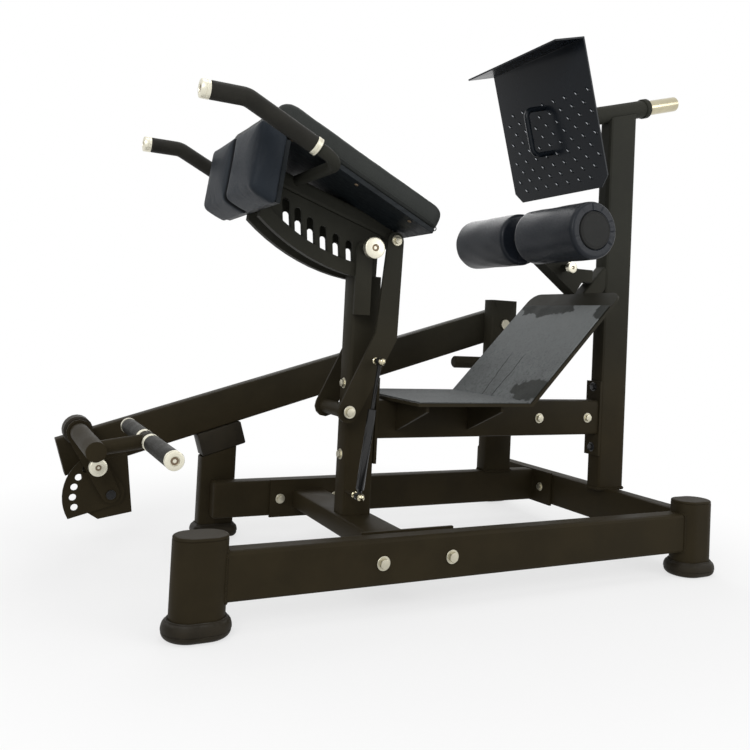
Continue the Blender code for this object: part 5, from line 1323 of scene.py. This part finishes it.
@dataclass
class PadHandles:
    """The bent bar that passes under the hip pad, its two grips, caps and collars."""

    tip: Pair = (-0.045, 1.065)
    bend: Pair = (0.052, 1.064)
    cross: Pair = (0.266, 0.957)
    turn: float = 0.045
    bar: float = 0.014
    grip: float = 0.0195
    grip_reach: float = 0.169
    cap: float = 0.019
    ring: float = 0.013
    rib: float = 0.00006
    pitch: float = 0.0048
    spacing: float = 0.0016

    def build(self) -> None:
        """Make the bar in one sweep, then a grip, a cap and a collar at each end."""
        low, high = node_box("pad_handle_bar")
        near_y, far_y = low[1] + self.bar, high[1] - self.bar
        half = ((self.tip[0] + self.cap / 2, self.tip[1]), self.bend, self.cross)
        corners = [(x, near_y, z) for x, z in half] + [(x, far_y, z) for x, z in half[::-1]]
        route = resampled(filleted(corners, self.turn), 0.004)
        dress(soft_rod("pad_handle_bar_bent", route, self.bar, (0.2, 0.4, 1.0)), Body.CARRIAGE, PAINT,
              "pad_handle_bar")
        bend, cross = np.array(self.bend), np.array(self.cross)
        way = unit(cross - bend)
        end = bend + way * self.grip_reach
        way = unit((way[0], 0, way[1]))
        for side, y in (("near", near_y), ("far", far_y)):
            points = [(self.tip[0] + self.cap, y, self.tip[1]), (bend[0], y, bend[1]), (end[0], y, end[1])]
            path = resampled(filleted(points, self.turn), self.spacing)
            along = np.arange(len(path)) * self.spacing
            ribbed = 1 + self.rib / self.grip * np.cos(2 * math.pi * along / self.pitch)
            name = "pad_grip_" + side
            sleeve = swept(name + "_sleeve", path, circle(self.grip - self.rib, 36), (0.0, 1.0, 0.0),
                           swell=ribbed * drawn_in(along))
            dress(sleeve, Body.CARRIAGE, GRIP_RUBBER, name)
            end_cap(name + "_cap", np.array([self.tip[0], y, self.tip[1]]), np.array([-1.0, 0, 0.01]),
                    self.grip, self.cap, Body.CARRIAGE)
            collar(name + "_collar", np.array([end[0], y, end[1]]) - way * 0.001, way,
                   self.grip + 0.0008, self.ring, Body.CARRIAGE)


@dataclass
class HandBar:
    """The T bar's grips, caps and rings at the end of the pull lever."""

    grip: float = 0.0195
    cap: float = 0.014
    ring: float = 0.009
    rib: float = 0.00016
    flutes: int = 36
    spacing: float = 0.0016
    kept_every: int = 4

    def build(self) -> None:
        """Make a fluted sleeve, an end cap and two rings on each half of the T bar."""
        for side, way in (("near", 1), ("far", -1)):
            node = "hand_grip_" + side
            low, high = node_box(node)
            middle = (low + high) / 2
            start, end = (low[1], high[1])[::way]
            inner = end - way * 2 * self.ring
            count = int(abs(inner - start - way * self.cap) / self.spacing)
            path = np.tile(middle, (count, 1))
            path[:, 1] = np.linspace(start + way * self.cap, inner, count)
            swell = drawn_in(np.abs(path[:, 1] - path[0, 1]))
            turn = np.linspace(0, 2 * math.pi, 4 * self.flutes, endpoint=False)
            fluted = (self.grip - self.rib + self.rib * np.cos(self.flutes * turn))[:, None]
            section = fluted * np.stack([np.cos(turn), np.sin(turn)], axis=1)
            sleeve = swept(node + "_sleeve", path[::self.kept_every], section, swell=swell[::self.kept_every])
            dress(sleeve, Body.HAND_BAR, GRIP_RUBBER, node)
            tip = np.array([middle[0], start, middle[2]])
            end_cap(node + "_cap", tip, np.array([0, -way, 0.0]), self.grip + 0.0003, self.cap, Body.HAND_BAR)
            for number in range(2):
                place = np.array([middle[0], inner + way * number * (self.ring + 0.001), middle[2]])
                collar("%s_ring_%d" % (node, number), place, np.array([0, way, 0.0]), self.grip + 0.0004,
                       self.ring - 0.001, Body.HAND_BAR)


@dataclass
class Knobs:
    """Pull pins with turned knobs and a screw in the face.

    Attributes:
        pins: each pin's solid, its moving group, its shaft's radius and its knob's length.
    """

    pins: tuple[tuple[str, Body, float, float], ...] = (
        ("pad_pin", Body.PAD_PIN, 0.006, 0.024), ("pop_pin", Body.POP_PIN, 0.007, 0.030),
        ("roller_pin", Body.ROLLER_PIN, 0.005, 0.022))

    def build(self) -> None:
        """Turn each pin about Y from its nose to its knob's face."""
        for node, body, shaft, tall in self.pins:
            low, high = node_box(node)
            centre = (low + high) / 2
            radius = (high[0] - low[0]) / 2
            whole = high[1] - low[1]
            knob = whole - tall
            profile = [(0.0, 0.0), (shaft - 0.0012, 0.0), (shaft, 0.0015), (shaft, knob), (radius * 0.62, knob),
                       (radius * 0.66, knob + 0.0008), (radius * 0.66, knob + tall * 0.22),
                       (radius * 0.92, knob + tall * 0.30), (radius, knob + tall * 0.38),
                       (radius, knob + tall * 0.84), (radius * 0.985, knob + tall * 0.92),
                       (radius * 0.93, whole - 0.0012), (radius * 0.86, whole - 0.0008), (radius * 0.36, whole),
                       (radius * 0.34, whole - 0.0012), (0.0, whole - 0.0012)]
            start = np.array([centre[0], high[1], centre[2]])
            dress(turned(node + "_turned", profile, start, TO_NEAR, 72), body, ALUMINIUM, node)
            face = np.array([centre[0], low[1] + 0.0012, centre[2]])
            dress(hex_socket(node + "_screw", face, TO_NEAR, radius * 0.32, 0.003), body, DARK_ZINC)


# Sheet rubber, treads and the back plate
@dataclass
class FootMat:
    """The rubber sheet glued on the bent foot plate, with worn patches and scratches down its slant."""

    slope: float = math.radians(46.5)
    fold: Point = (0.882, MIDDLE_Y, 0.4333)
    scratches: tuple[Point, ...] = ((0.033, -0.12, 0.020), (-0.010, 0.010, 0.018))
    patches: tuple[tuple[float, float, float, float], ...] = (
        (0.0, 0.070, 0.050, 0.130), (-0.010, -0.185, 0.050, 0.034), (-0.330, -0.150, 0.040, 0.075))

    def build(self) -> None:
        """Stand a rounded copy in for the mat."""
        _, high = node_box("foot_mat")
        top = float((high[2] - self.fold[2]) / math.sin(self.slope))
        patches = tuple((top + lengthwise, across, long, wide) for lengthwise, across, long, wide in self.patches)
        finish = WornMat("worn_mat_rubber", "rubber_mat", (0.106, 0.112, 0.112), 0.74, 0.10,
                         slope=self.slope, fold=self.fold, scratches=self.scratches, patches=patches)
        smoothed("foot_mat", Body.BASE, finish, 0.0006)


@dataclass
class Treads:
    """Raised teardrops on the back plate, all leaning one way.

    Attributes:
        length: length of a teardrop.
        pitch: spacing across the plate and down it.
        lean: the diagonal's angle from the plate's upward direction.
        bare: share of the plate's height that carries none, at its top.
        corner: size of the plate's cut corners.
        crest: the pale crest's length and width, as shares of the teardrop's; worn bare steel that also paints each
            teardrop's highlight.
        profiles: for teardrop and crest, the rings' rises and sizes, as shares.
    """

    length: float = 0.023
    width: float = 0.0085
    height: float = 0.0030
    pitch: Pair = (0.048, 0.029)
    lean: float = math.radians(45)
    margin: float = 0.016
    bare: float = 0.34
    corner: Pair = (0.030, 0.060)
    crest: Pair = (0.56, 0.36)
    profiles: tuple[tuple[tuple[float, ...], tuple[float, ...]], ...] = (
        ((0.0, 0.55, 0.85, 1.0), (1.0, 0.86, 0.58, 0.22)), ((0.50, 0.98, 1.10, 1.14), (1.0, 0.80, 0.50, 0.20)))

    def build(self) -> None:
        """Make all teardrops as one mesh, and the pale crests on top of them as another: worn steel that also paints
        their highlights.
        """
        rows = basis((0, 1, 0), SLIDE_UP)
        low, high = local_box("back_plate", rows)
        local = mesh_points(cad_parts["back_plate"].data) @ rows.T
        face = float(local[local[:, 1] < low[1] + 0.05, 2].min())
        spots = self.places(low, high)
        whole, crest = (self.length, self.width), (self.length * self.crest[0], self.width * self.crest[1])
        for name, size, finish, (rise, shrink) in zip(("tread_teardrops", "tread_worn_crests_and_highlights"), (whole, crest),
                                                      (TREAD_PAINT, WORN_STEEL_AND_HIGHLIGHT), self.profiles):
            domes = self.domes(name, spots, size, np.array(rise) * self.height, np.array(shrink), rows, face)
            dress(domes, Body.BACK_PLATE, finish)

    def domes(self, name: str, spots: Array, size: Pair, rise: Array, shrink: Array, rows: Array,
              face: float) -> Piece:
        """Make one mesh of equal teardrop domes: rings copied to each place by adding arrays.

        At angle a, a ring's point is half a length times cos(a), and half a width times
        sin(a) * (1 - 0.42 * cos(a)) * the size of sin(a) to the power 0.35.

        Args:
            name: the mesh's name.
            spots: (count, 2) places across and up the plate.
            size: a dome's length and width.
            rise: height of each of its rings.
            shrink: size of each ring as a share of the lowest one.
            rows: the plate's basis.
            face: the plate's front, along the third axis.

        Returns:
            The linked mesh.
        """
        steps, levels = 20, len(rise)
        along, across = circle(1.0, steps).T
        across = across * (1 - 0.42 * along) * np.sin(np.arccos(np.clip(along, -1, 1))) ** 0.35
        ring = np.stack([along * size[0] / 2, across * size[1] / 2], axis=1)
        turn = np.array([[math.cos(self.lean), math.sin(self.lean)], [-math.sin(self.lean), math.cos(self.lean)]])
        flat = (ring @ turn)[None] * shrink[:, None, None]
        dome = np.concatenate([flat, np.broadcast_to(rise[:, None, None], (levels, steps, 1))], axis=2)
        points = dome[None] + np.concatenate([spots, np.full((len(spots), 1), -0.0003)], axis=1)[:, None, None, :]
        local = points.reshape(-1, 3)
        local[:, 2] = face - local[:, 2]
        each = np.arange(levels * steps).reshape(levels, steps)
        sides = np.stack([each[:-1], np.roll(each[:-1], -1, 1), np.roll(each[1:], -1, 1), each[1:]], axis=-1)
        polygons = []
        for start in range(0, each.size * len(spots), each.size):
            polygons += (sides.reshape(-1, 4) + start).tolist()
            polygons += [(each[-1] + start).tolist(), (each[0][::-1] + start).tolist()]
        return solid(name, placed(local, rows), polygons)

    def places(self, low: Array, high: Array) -> Array:
        """Staggered places inside the plate, below its bare top and clear of its cut corners."""
        across, down = self.pitch
        top = high[1] - self.bare * (high[1] - low[1])
        rows = np.arange(top, low[1] + self.margin, -down)
        spots = np.array([(x + (number % 2) * across / 2, z) for number, z in enumerate(rows)
                          for x in np.arange(low[0] + self.margin, high[0] - self.margin + 1e-6, across)])
        spots = spots[spots[:, 0] < high[0] - self.margin]
        inset = np.minimum(spots[:, 0] - low[0], high[0] - spots[:, 0])
        wide, tall = self.corner
        kept = inset / wide + (spots[:, 1] - low[1]) / tall > 1.35
        return spots[kept]


@dataclass
class PullBar:
    """The bent round handle on the back plate.

    Attributes:
        out: how far its grip's outside stands from the plate.
        low: where its lower foot is, up the plate from the sliding tube's axis.
        high: where its upper foot is.
        away: the plate's front, from the sliding tube's middle.
        sunk: how far the feet stand off the plate's front.
    """

    radius: float = 0.0078
    out: float = 0.075
    low: float = -0.084
    high: float = 0.047
    away: float = 0.286
    bend: float = 0.022
    sunk: float = 0.0008

    def build(self) -> None:
        """Carry a circle along the handle's filleted path."""
        box_low, box_high = node_box("pull_bar")
        grip = self.out - self.radius
        corners = [SLIDE_CENTRE - SLIDE_WAY * (self.away + depth) + SLIDE_UP * height for depth, height in
                   ((self.sunk, self.low), (grip, self.low), (grip, self.high), (self.sunk, self.high))]
        for corner in corners:
            corner[1] = (box_low[1] + box_high[1]) / 2
        path = resampled(filleted([tuple(corner) for corner in corners], self.bend), 0.003)
        bar = swept("pull_bar_bent", path, circle(self.radius, 20), (0, 1, 0))
        dress(bar, Body.BACK_PLATE, TREAD_PAINT, "pull_bar")


# Fasteners and welds
@dataclass
class Fasteners:
    """Bolts, screws and the gas spring's studs.

    Attributes:
        rail_x: the base rails' bolts along the bench, and rail_z their height.
        beam_x: the bolts through the middle beam along the bench, and beam_side its faces and their height.
        flange_z: the bolts of its flanges, by height.
        rear_y: the bolts of the right cross rail's flange, and rear_face its face and their height.
        axle: the link axle's bolt, along and up, and top the upper link bolt's.
        studs: the gas spring's studs.
        sink: from a flange's outline to the face that a bolt stands on.
        screws: the hip board's screws, as shares of its length.
    """

    head: float = 0.0095
    tall: float = 0.0085
    washer: float = 0.0135
    rail_x: Pair = (0.388, 0.559)
    rail_z: float = 0.112
    beam_x: Pair = (1.040, 1.217)
    beam_side: Point = (0.302, 0.352, 0.375)
    flange_z: Pair = (0.465, 0.285)
    column_x: float = 0.435
    rear_y: Pair = (0.592, 0.716)
    rear_face: Pair = (1.284, 0.113)
    axle: Pair = (0.4167, 0.400)
    top: Pair = (0.526, 0.832)
    studs: tuple[tuple[str, Point, Body], ...] = (("upper", (0.483, 0.2504, 0.527), Body.LINKS),
                                                  ("lower", (0.443, 0.2504, 0.197), Body.BASE))
    sink: float = 0.008
    screws: tuple[float, ...] = (0.13, 0.48, 0.88)

    def bolt(self, name: str, place: Point, out: Point, body: Body, size: float, finish: Finish = ZINC) -> None:
        """A flanged hexagon bolt with a chamfered head on a washer."""
        flat, round_head = hexagon(self.head * 0.9 * size), size * self.head
        dress(head(name, place, out, [
            (size * self.washer, -0.0005), (size * self.washer, 0.0014 * size),
            (size * (self.washer - 0.0005), 0.0018 * size), (size * (self.head + 0.002), 0.0018 * size),
            (flat, 0.0019 * size), (flat, self.tall * 0.86 * size),
            (np.minimum(flat, round_head * 0.97), self.tall * 0.96 * size),
            (round_head * 0.80, self.tall * size), (size * 0.0001, self.tall * size)]), body, finish)

    def screw(self, name: str, place: Array, out: Array, body: Body, radius: float = 0.0055) -> None:
        """A domed screw head with a socket."""
        turn = np.linspace(0, math.pi / 2, 6)
        profile = [(0.0, -0.0005), (radius, -0.0005)]
        profile += [(radius * (0.35 + 0.65 * math.cos(step)), 0.0022 * math.sin(step)) for step in turn]
        profile += [(radius * 0.30, 0.0006), (0.0, 0.0006)]
        dress(turned(name, profile, place, out, 24), body, DARK_ZINC)

    def build(self) -> None:
        """Set every bolt on the face that carries it; None in a place stands for the group's own spots."""
        rail, tube, beam = (node_box(node) for node in ("near_rail", "left_cross_tube", "mid_beam"))
        near, far, left, right = (0, -1, 0), (0, 1, 0), (-1, 0, 0), (1, 0, 0)
        near_side, far_side, side_z = self.beam_side
        for spots, bolts in (
                (self.rail_x, (("near_rail_bolt", (None, rail[0][1], self.rail_z), near, 1.15, ZINC),
                               ("near_rail_back_bolt", (None, tube[0][1] + self.sink, self.rail_z), far, 1.0, ZINC))),
                (self.rail_x, (("rear_end_bolt", (None, tube[1][1] - self.sink, self.rail_z), near, 1.0, ZINC),)),
                (self.beam_x, (("beam_bolt", (None, near_side, side_z), near, 1.05, ZINC),
                               ("beam_far_bolt", (None, far_side, side_z), far, 1.05, ZINC))),
                (self.flange_z, (
                    ("beam_left_bolt", (beam[0][0] + self.sink, MIDDLE_Y, None), right, 1.0, GLOSS_BLACK),
                    ("beam_right_bolt", (beam[1][0] - self.sink, MIDDLE_Y, None), left, 1.0, GLOSS_BLACK))),
                (self.flange_z, (("column_bolt", (self.column_x, MIDDLE_Y, None), left, 1.0, ZINC),)),
                (self.rear_y, (("rear_flange_bolt", (self.rear_face[0], None, self.rear_face[1]), left, 1.0, ZINC),))):
            for number, spot in enumerate(spots):
                for name, place, out, size, finish in bolts:
                    place = tuple(spot if value is None else value for value in place)
                    self.bolt("%s_%d" % (name, number), place, out, Body.BASE, size, finish)
        for name, node, (x, z), body, size in (("link_axle_bolt", "link_axle", self.axle, Body.BASE, 1.15),
                                               ("link_top_bolt_head", "link_top_bolt", self.top, Body.LINKS, 0.95)):
            self.bolt(name, (x, node_box(node)[0][1] + 0.0004, z), near, body, size)
        for name, place, body in self.studs:
            self.ball_stud("gas_spring_%s_stud" % name, place, body)
        self.board_screws()

    def ball_stud(self, name: str, place: Point, body: Body) -> None:
        """A plated stud through the gas spring's eye, with a shoulder behind it and a rounded nut before it."""
        profile = [(0.0, 0.0), (0.0085, 0.0), (0.0085, 0.0030), (0.0065, 0.0042), (0.0065, 0.0120), (0.0036, 0.0128),
                   (0.0036, 0.0330), (0.0078, 0.0334), (0.0092, 0.0352), (0.0094, 0.0380), (0.0080, 0.0420),
                   (0.0052, 0.0446), (0.0, 0.0455)]
        dress(turned(name, profile, np.array(place), TO_NEAR, 40), body, POLISHED)

    def board_screws(self) -> None:
        """Screws that hold the hip board, along both of its long edges."""
        rows = pad_rows()
        low, high = local_box("hip_board", rows)
        for side, y in (("near", high[1] - 0.022), ("far", low[1] + 0.022)):
            for number, share in enumerate(self.screws):
                place = placed(np.array([low[0] + share * (high[0] - low[0]), y, low[2]]), rows)
                self.screw("hip_board_%s_screw_%d" % (side, number), place, -rows[2], Body.CARRIAGE)


@dataclass
class Welds:
    """Low rippled weld beads where tubes and plates meet.

    Attributes:
        radius: a bead's radius.
        ripple: the length of one ripple.
        tube: the base tubes' section.
        uprights: the rectangular uprights that stand on a rail, and their places.
    """

    radius: float = 0.0042
    ripple: float = 0.0033
    tube: Pair = (0.100, 0.050)
    uprights: tuple[tuple[str, Pair], ...] = (
        ("tall_column", (1.317, MIDDLE_Y)), ("lever_post", (1.140, 0.654)))

    def bead(self, name: str, points: Array, size: float = 1.0) -> None:
        """Carry a circle round a closed seam, swelling and shrinking with each ripple of the weld."""
        path = resampled(np.concatenate([points, points[:1]]), self.ripple / 4)[:-1]
        swell = 1 + 0.16 * np.sin(np.arange(len(path)) * math.pi / 2)
        bead = swept(name, path, circle(self.radius * size, 8), (0.31, 0.52, 0.79), Ends.LOOP, swell)
        dress(bead, Body.BASE, PAINT)

    def ring(self, name: str, centre: Array | Point, along: Array | Point, radius: float, body: Body) -> None:
        """A bead round a bar, in the plane square to its direction."""
        rows = basis(along, LEAN)
        path = np.asarray(centre) + radius * ring_about(rows, 96)
        swell = 1 + 0.14 * np.sin(np.linspace(0, 2 * math.pi, 96, endpoint=False) * 24)
        dress(swept(name, path, circle(self.radius * 0.7, 8), tuple(rows[0]), Ends.LOOP, swell), body, PAINT)

    def build(self) -> None:
        """Lay the beads that show."""
        rail_low, rail_high = node_box("near_rail")
        for name, place in self.uprights:
            flat = rounded_loop(*self.tube, 0.007, 5) + place
            self.bead(name + "_weld", np.concatenate([flat, np.full((len(flat), 1), rail_high[2])], axis=1))
        for place, side in (("near_left", 1), ("near_right", -1)):
            low, high = node_box(place + "_post")
            centre, half = (low + high) / 2, (high - low) / 2
            section = rounded_loop(*self.tube[::-1], 0.008, 6)
            x = centre[0] + side * (half[0] - half[1] + np.sqrt(half[1] ** 2 - section[:, 0] ** 2))
            middle = (rail_low[2] + rail_high[2]) / 2
            points = np.stack([x, section[:, 0] + centre[1], section[:, 1] + middle], axis=1)
            self.bead(place + "_rail_weld", points, 0.8)
        self.ring("sleeve_collar_weld", SLIDE_CENTRE + SLIDE_WAY * 0.095, SLIDE_WAY, 0.0270, Body.BASE)
        self.ring("stem_weld", (-0.047, MIDDLE_Y, 0.3275), (-0.9, 0.0, 0.1), 0.018, Body.HAND_BAR)


# Camera, floor and lights
def seen_directly(graph: Graph) -> Socket:
    """One for rays from the camera, from a reflection or through glass, and zero for the others."""
    rays = graph.node("LightPath").outputs
    indirect = graph.math("MAXIMUM", rays["Is Glossy Ray"], rays["Is Transmission Ray"])
    return graph.math("MAXIMUM", rays["Is Camera Ray"], indirect)


@dataclass
class PhotoView:
    """The photograph's camera, from where it stood and how it was turned."""

    place: Point = (-0.4131, -1.5386, 0.6085)
    yaw: float = math.radians(26.386)
    pitch: float = math.radians(-1.8132)
    roll: float = math.radians(-2.807)
    focal: float = 800.69
    middle: Pair = (375.06, 302.76)
    width: float = 750.0
    sensor: float = 36.0

    def build(self) -> None:
        """Make the camera and set it as the scene's own."""
        ahead = Vector((math.sin(self.yaw) * math.cos(self.pitch), math.cos(self.yaw) * math.cos(self.pitch),
                        -math.sin(self.pitch)))
        right = Vector((math.cos(self.yaw), -math.sin(self.yaw), 0.0))
        down = ahead.cross(right)
        side = math.cos(self.roll) * right + math.sin(self.roll) * down
        drop = -math.sin(self.roll) * right + math.cos(self.roll) * down
        data = bpy.data.cameras.new("photo_camera")
        data.sensor_fit = "HORIZONTAL"
        data.sensor_width = self.sensor
        data.lens = self.focal / self.width * self.sensor
        data.shift_x = (self.width / 2 - self.middle[0]) / self.width
        data.shift_y = -(self.width / 2 - self.middle[1]) / self.width
        data.clip_start = 0.05
        camera = linked("photo_camera", data)
        turn = Matrix((side, -drop, -ahead)).transposed().to_4x4()
        camera.matrix_world = Matrix.Translation(self.place) @ turn
        bpy.context.scene.camera = camera


@dataclass
class Studio:
    """A pale floor that fades to white, a white surround and large soft lamps.

    Attributes:
        clear: distance from the object's middle at which the floor becomes plain white.
        lamps: each lamp's name, place, size and power.
    """

    centre: Point = (0.62, 0.40, 0.0)
    reach: float = 14.0
    clear: Pair = (0.80, 1.5)
    level: float = 0.60
    lamps: tuple[tuple[str, Point, float, float], ...] = (
        ("key", (-1.9, -2.8, 2.6), 2.2, 70.0), ("fill", (2.9, -2.5, 1.9), 2.4, 34.0),
        ("top", (0.7, 0.3, 3.6), 2.4, 16.0), ("back", (1.6, 3.2, 2.4), 2.4, 24.0))

    def build(self) -> None:
        """Make the floor, the world and the lamps."""
        self.floor()
        self.surround()
        for name, place, size, power in self.lamps:
            data = bpy.data.lights.new(name + "_lamp", "AREA")
            data.shape = "DISK"
            data.size = size
            data.energy = power
            lamp = linked(name + "_lamp", data)
            aim = Vector((self.centre[0], self.centre[1], 0.65)) - Vector(place)
            lamp.matrix_world = Matrix.Translation(place) @ aim.to_track_quat("-Z", "Y").to_matrix().to_4x4()

    def floor(self) -> None:
        """A disc whose radius grows with rings, set just under the feet."""
        steps = 96
        rings = np.concatenate([[0.01], np.linspace(0.4, 3.2, 8), np.geomspace(4, self.reach, 5)])
        grid = np.zeros((len(rings), steps, 3))
        grid[..., :2] = rings[:, None, None] * circle(1.0, steps) + self.centre[:2]
        grid[..., 2] = -0.0002
        index = np.arange(len(rings) * steps).reshape(len(rings), steps)
        faces = np.stack([index[:-1], index[1:], np.roll(index[1:], -1, 1), np.roll(index[:-1], -1, 1)], axis=-1)
        mesh = bpy.data.meshes.new("studio_floor")
        mesh.from_pydata(grid.reshape(-1, 3).tolist(), [], faces.reshape(-1, 4).tolist() + [index[0].tolist()])
        floor = linked("studio_floor", mesh)
        material = bpy.data.materials.new("studio_floor")
        material.use_nodes = True
        graph = Graph(material.node_tree)
        shader = material.node_tree.nodes["Principled BSDF"]
        shader.inputs["Roughness"].default_value = 0.9
        shader.inputs["Specular IOR Level"].default_value = 0.1
        place = graph.place()
        fine = graph.noise(place, 120.0, 4.0, 0.6)
        graph.feed(shader.inputs["Base Color"],
                   graph.mix(fine, (0.80, 0.80, 0.80, 1.0), (0.84, 0.84, 0.84, 1.0)))
        offset = graph.math("DISTANCE", place, self.centre, kind="VectorMath", output="Value")
        far = graph.step(offset, *self.clear, 0.66, 1.0)
        glow = graph.node("Emission", Color=(1.0, 1.0, 1.0, 1.0), Strength=1.0)
        blend = graph.node("MixShader")
        shown = graph.math("MULTIPLY", far, seen_directly(graph))
        for socket, value in zip(blend.inputs, (shown, shader.outputs[0], glow.outputs[0])):
            graph.feed(socket, value)
        graph.feed(material.node_tree.nodes["Material Output"].inputs["Surface"], blend.outputs[0])
        mesh.materials.append(material)

    def surround(self) -> None:
        """A world that is white to the camera and to reflections, and a plain level of light elsewhere."""
        world = bpy.data.worlds.new("studio_world")
        world.use_nodes = True
        graph = Graph(world.node_tree)
        background = world.node_tree.nodes["Background"]
        background.inputs["Color"].default_value = (1.0, 1.0, 1.0, 1.0)
        strength = graph.node("MapRange", Value=seen_directly(graph), To_Min=self.level, To_Max=1.0).outputs[0]
        graph.feed(background.inputs["Strength"], strength)
        bpy.context.scene.world = world


def corners(box: tuple[Vector, Vector]) -> list[list[float]]:
    """Give a box as plain lists of numbers."""
    return [[float(value) for value in corner] for corner in box]


def main() -> None:
    """Build the bench's pieces in order."""
    logging.basicConfig(level=logging.INFO, format="%(name)s: %(message)s")
    bpy.context.scene.view_settings.view_transform = "Standard"
    PhotoView().build()
    Studio().build()
    rollers = (Roller("near_roller", Body.NEAR_ROLLER, -1), Roller("far_roller", Body.FAR_ROLLER, 1))
    for part in (KeptShapes(), OvalPosts(), RailPlug(), Boots(), FootMat(), Upholstery(), *rollers, PadHandles(),
                 HandBar(), Knobs(), Treads(), PullBar(), Fasteners(), Welds()):
        LOG.info("building %s", type(part).__name__)
        part.build()


if __name__ == "__main__":
    main()
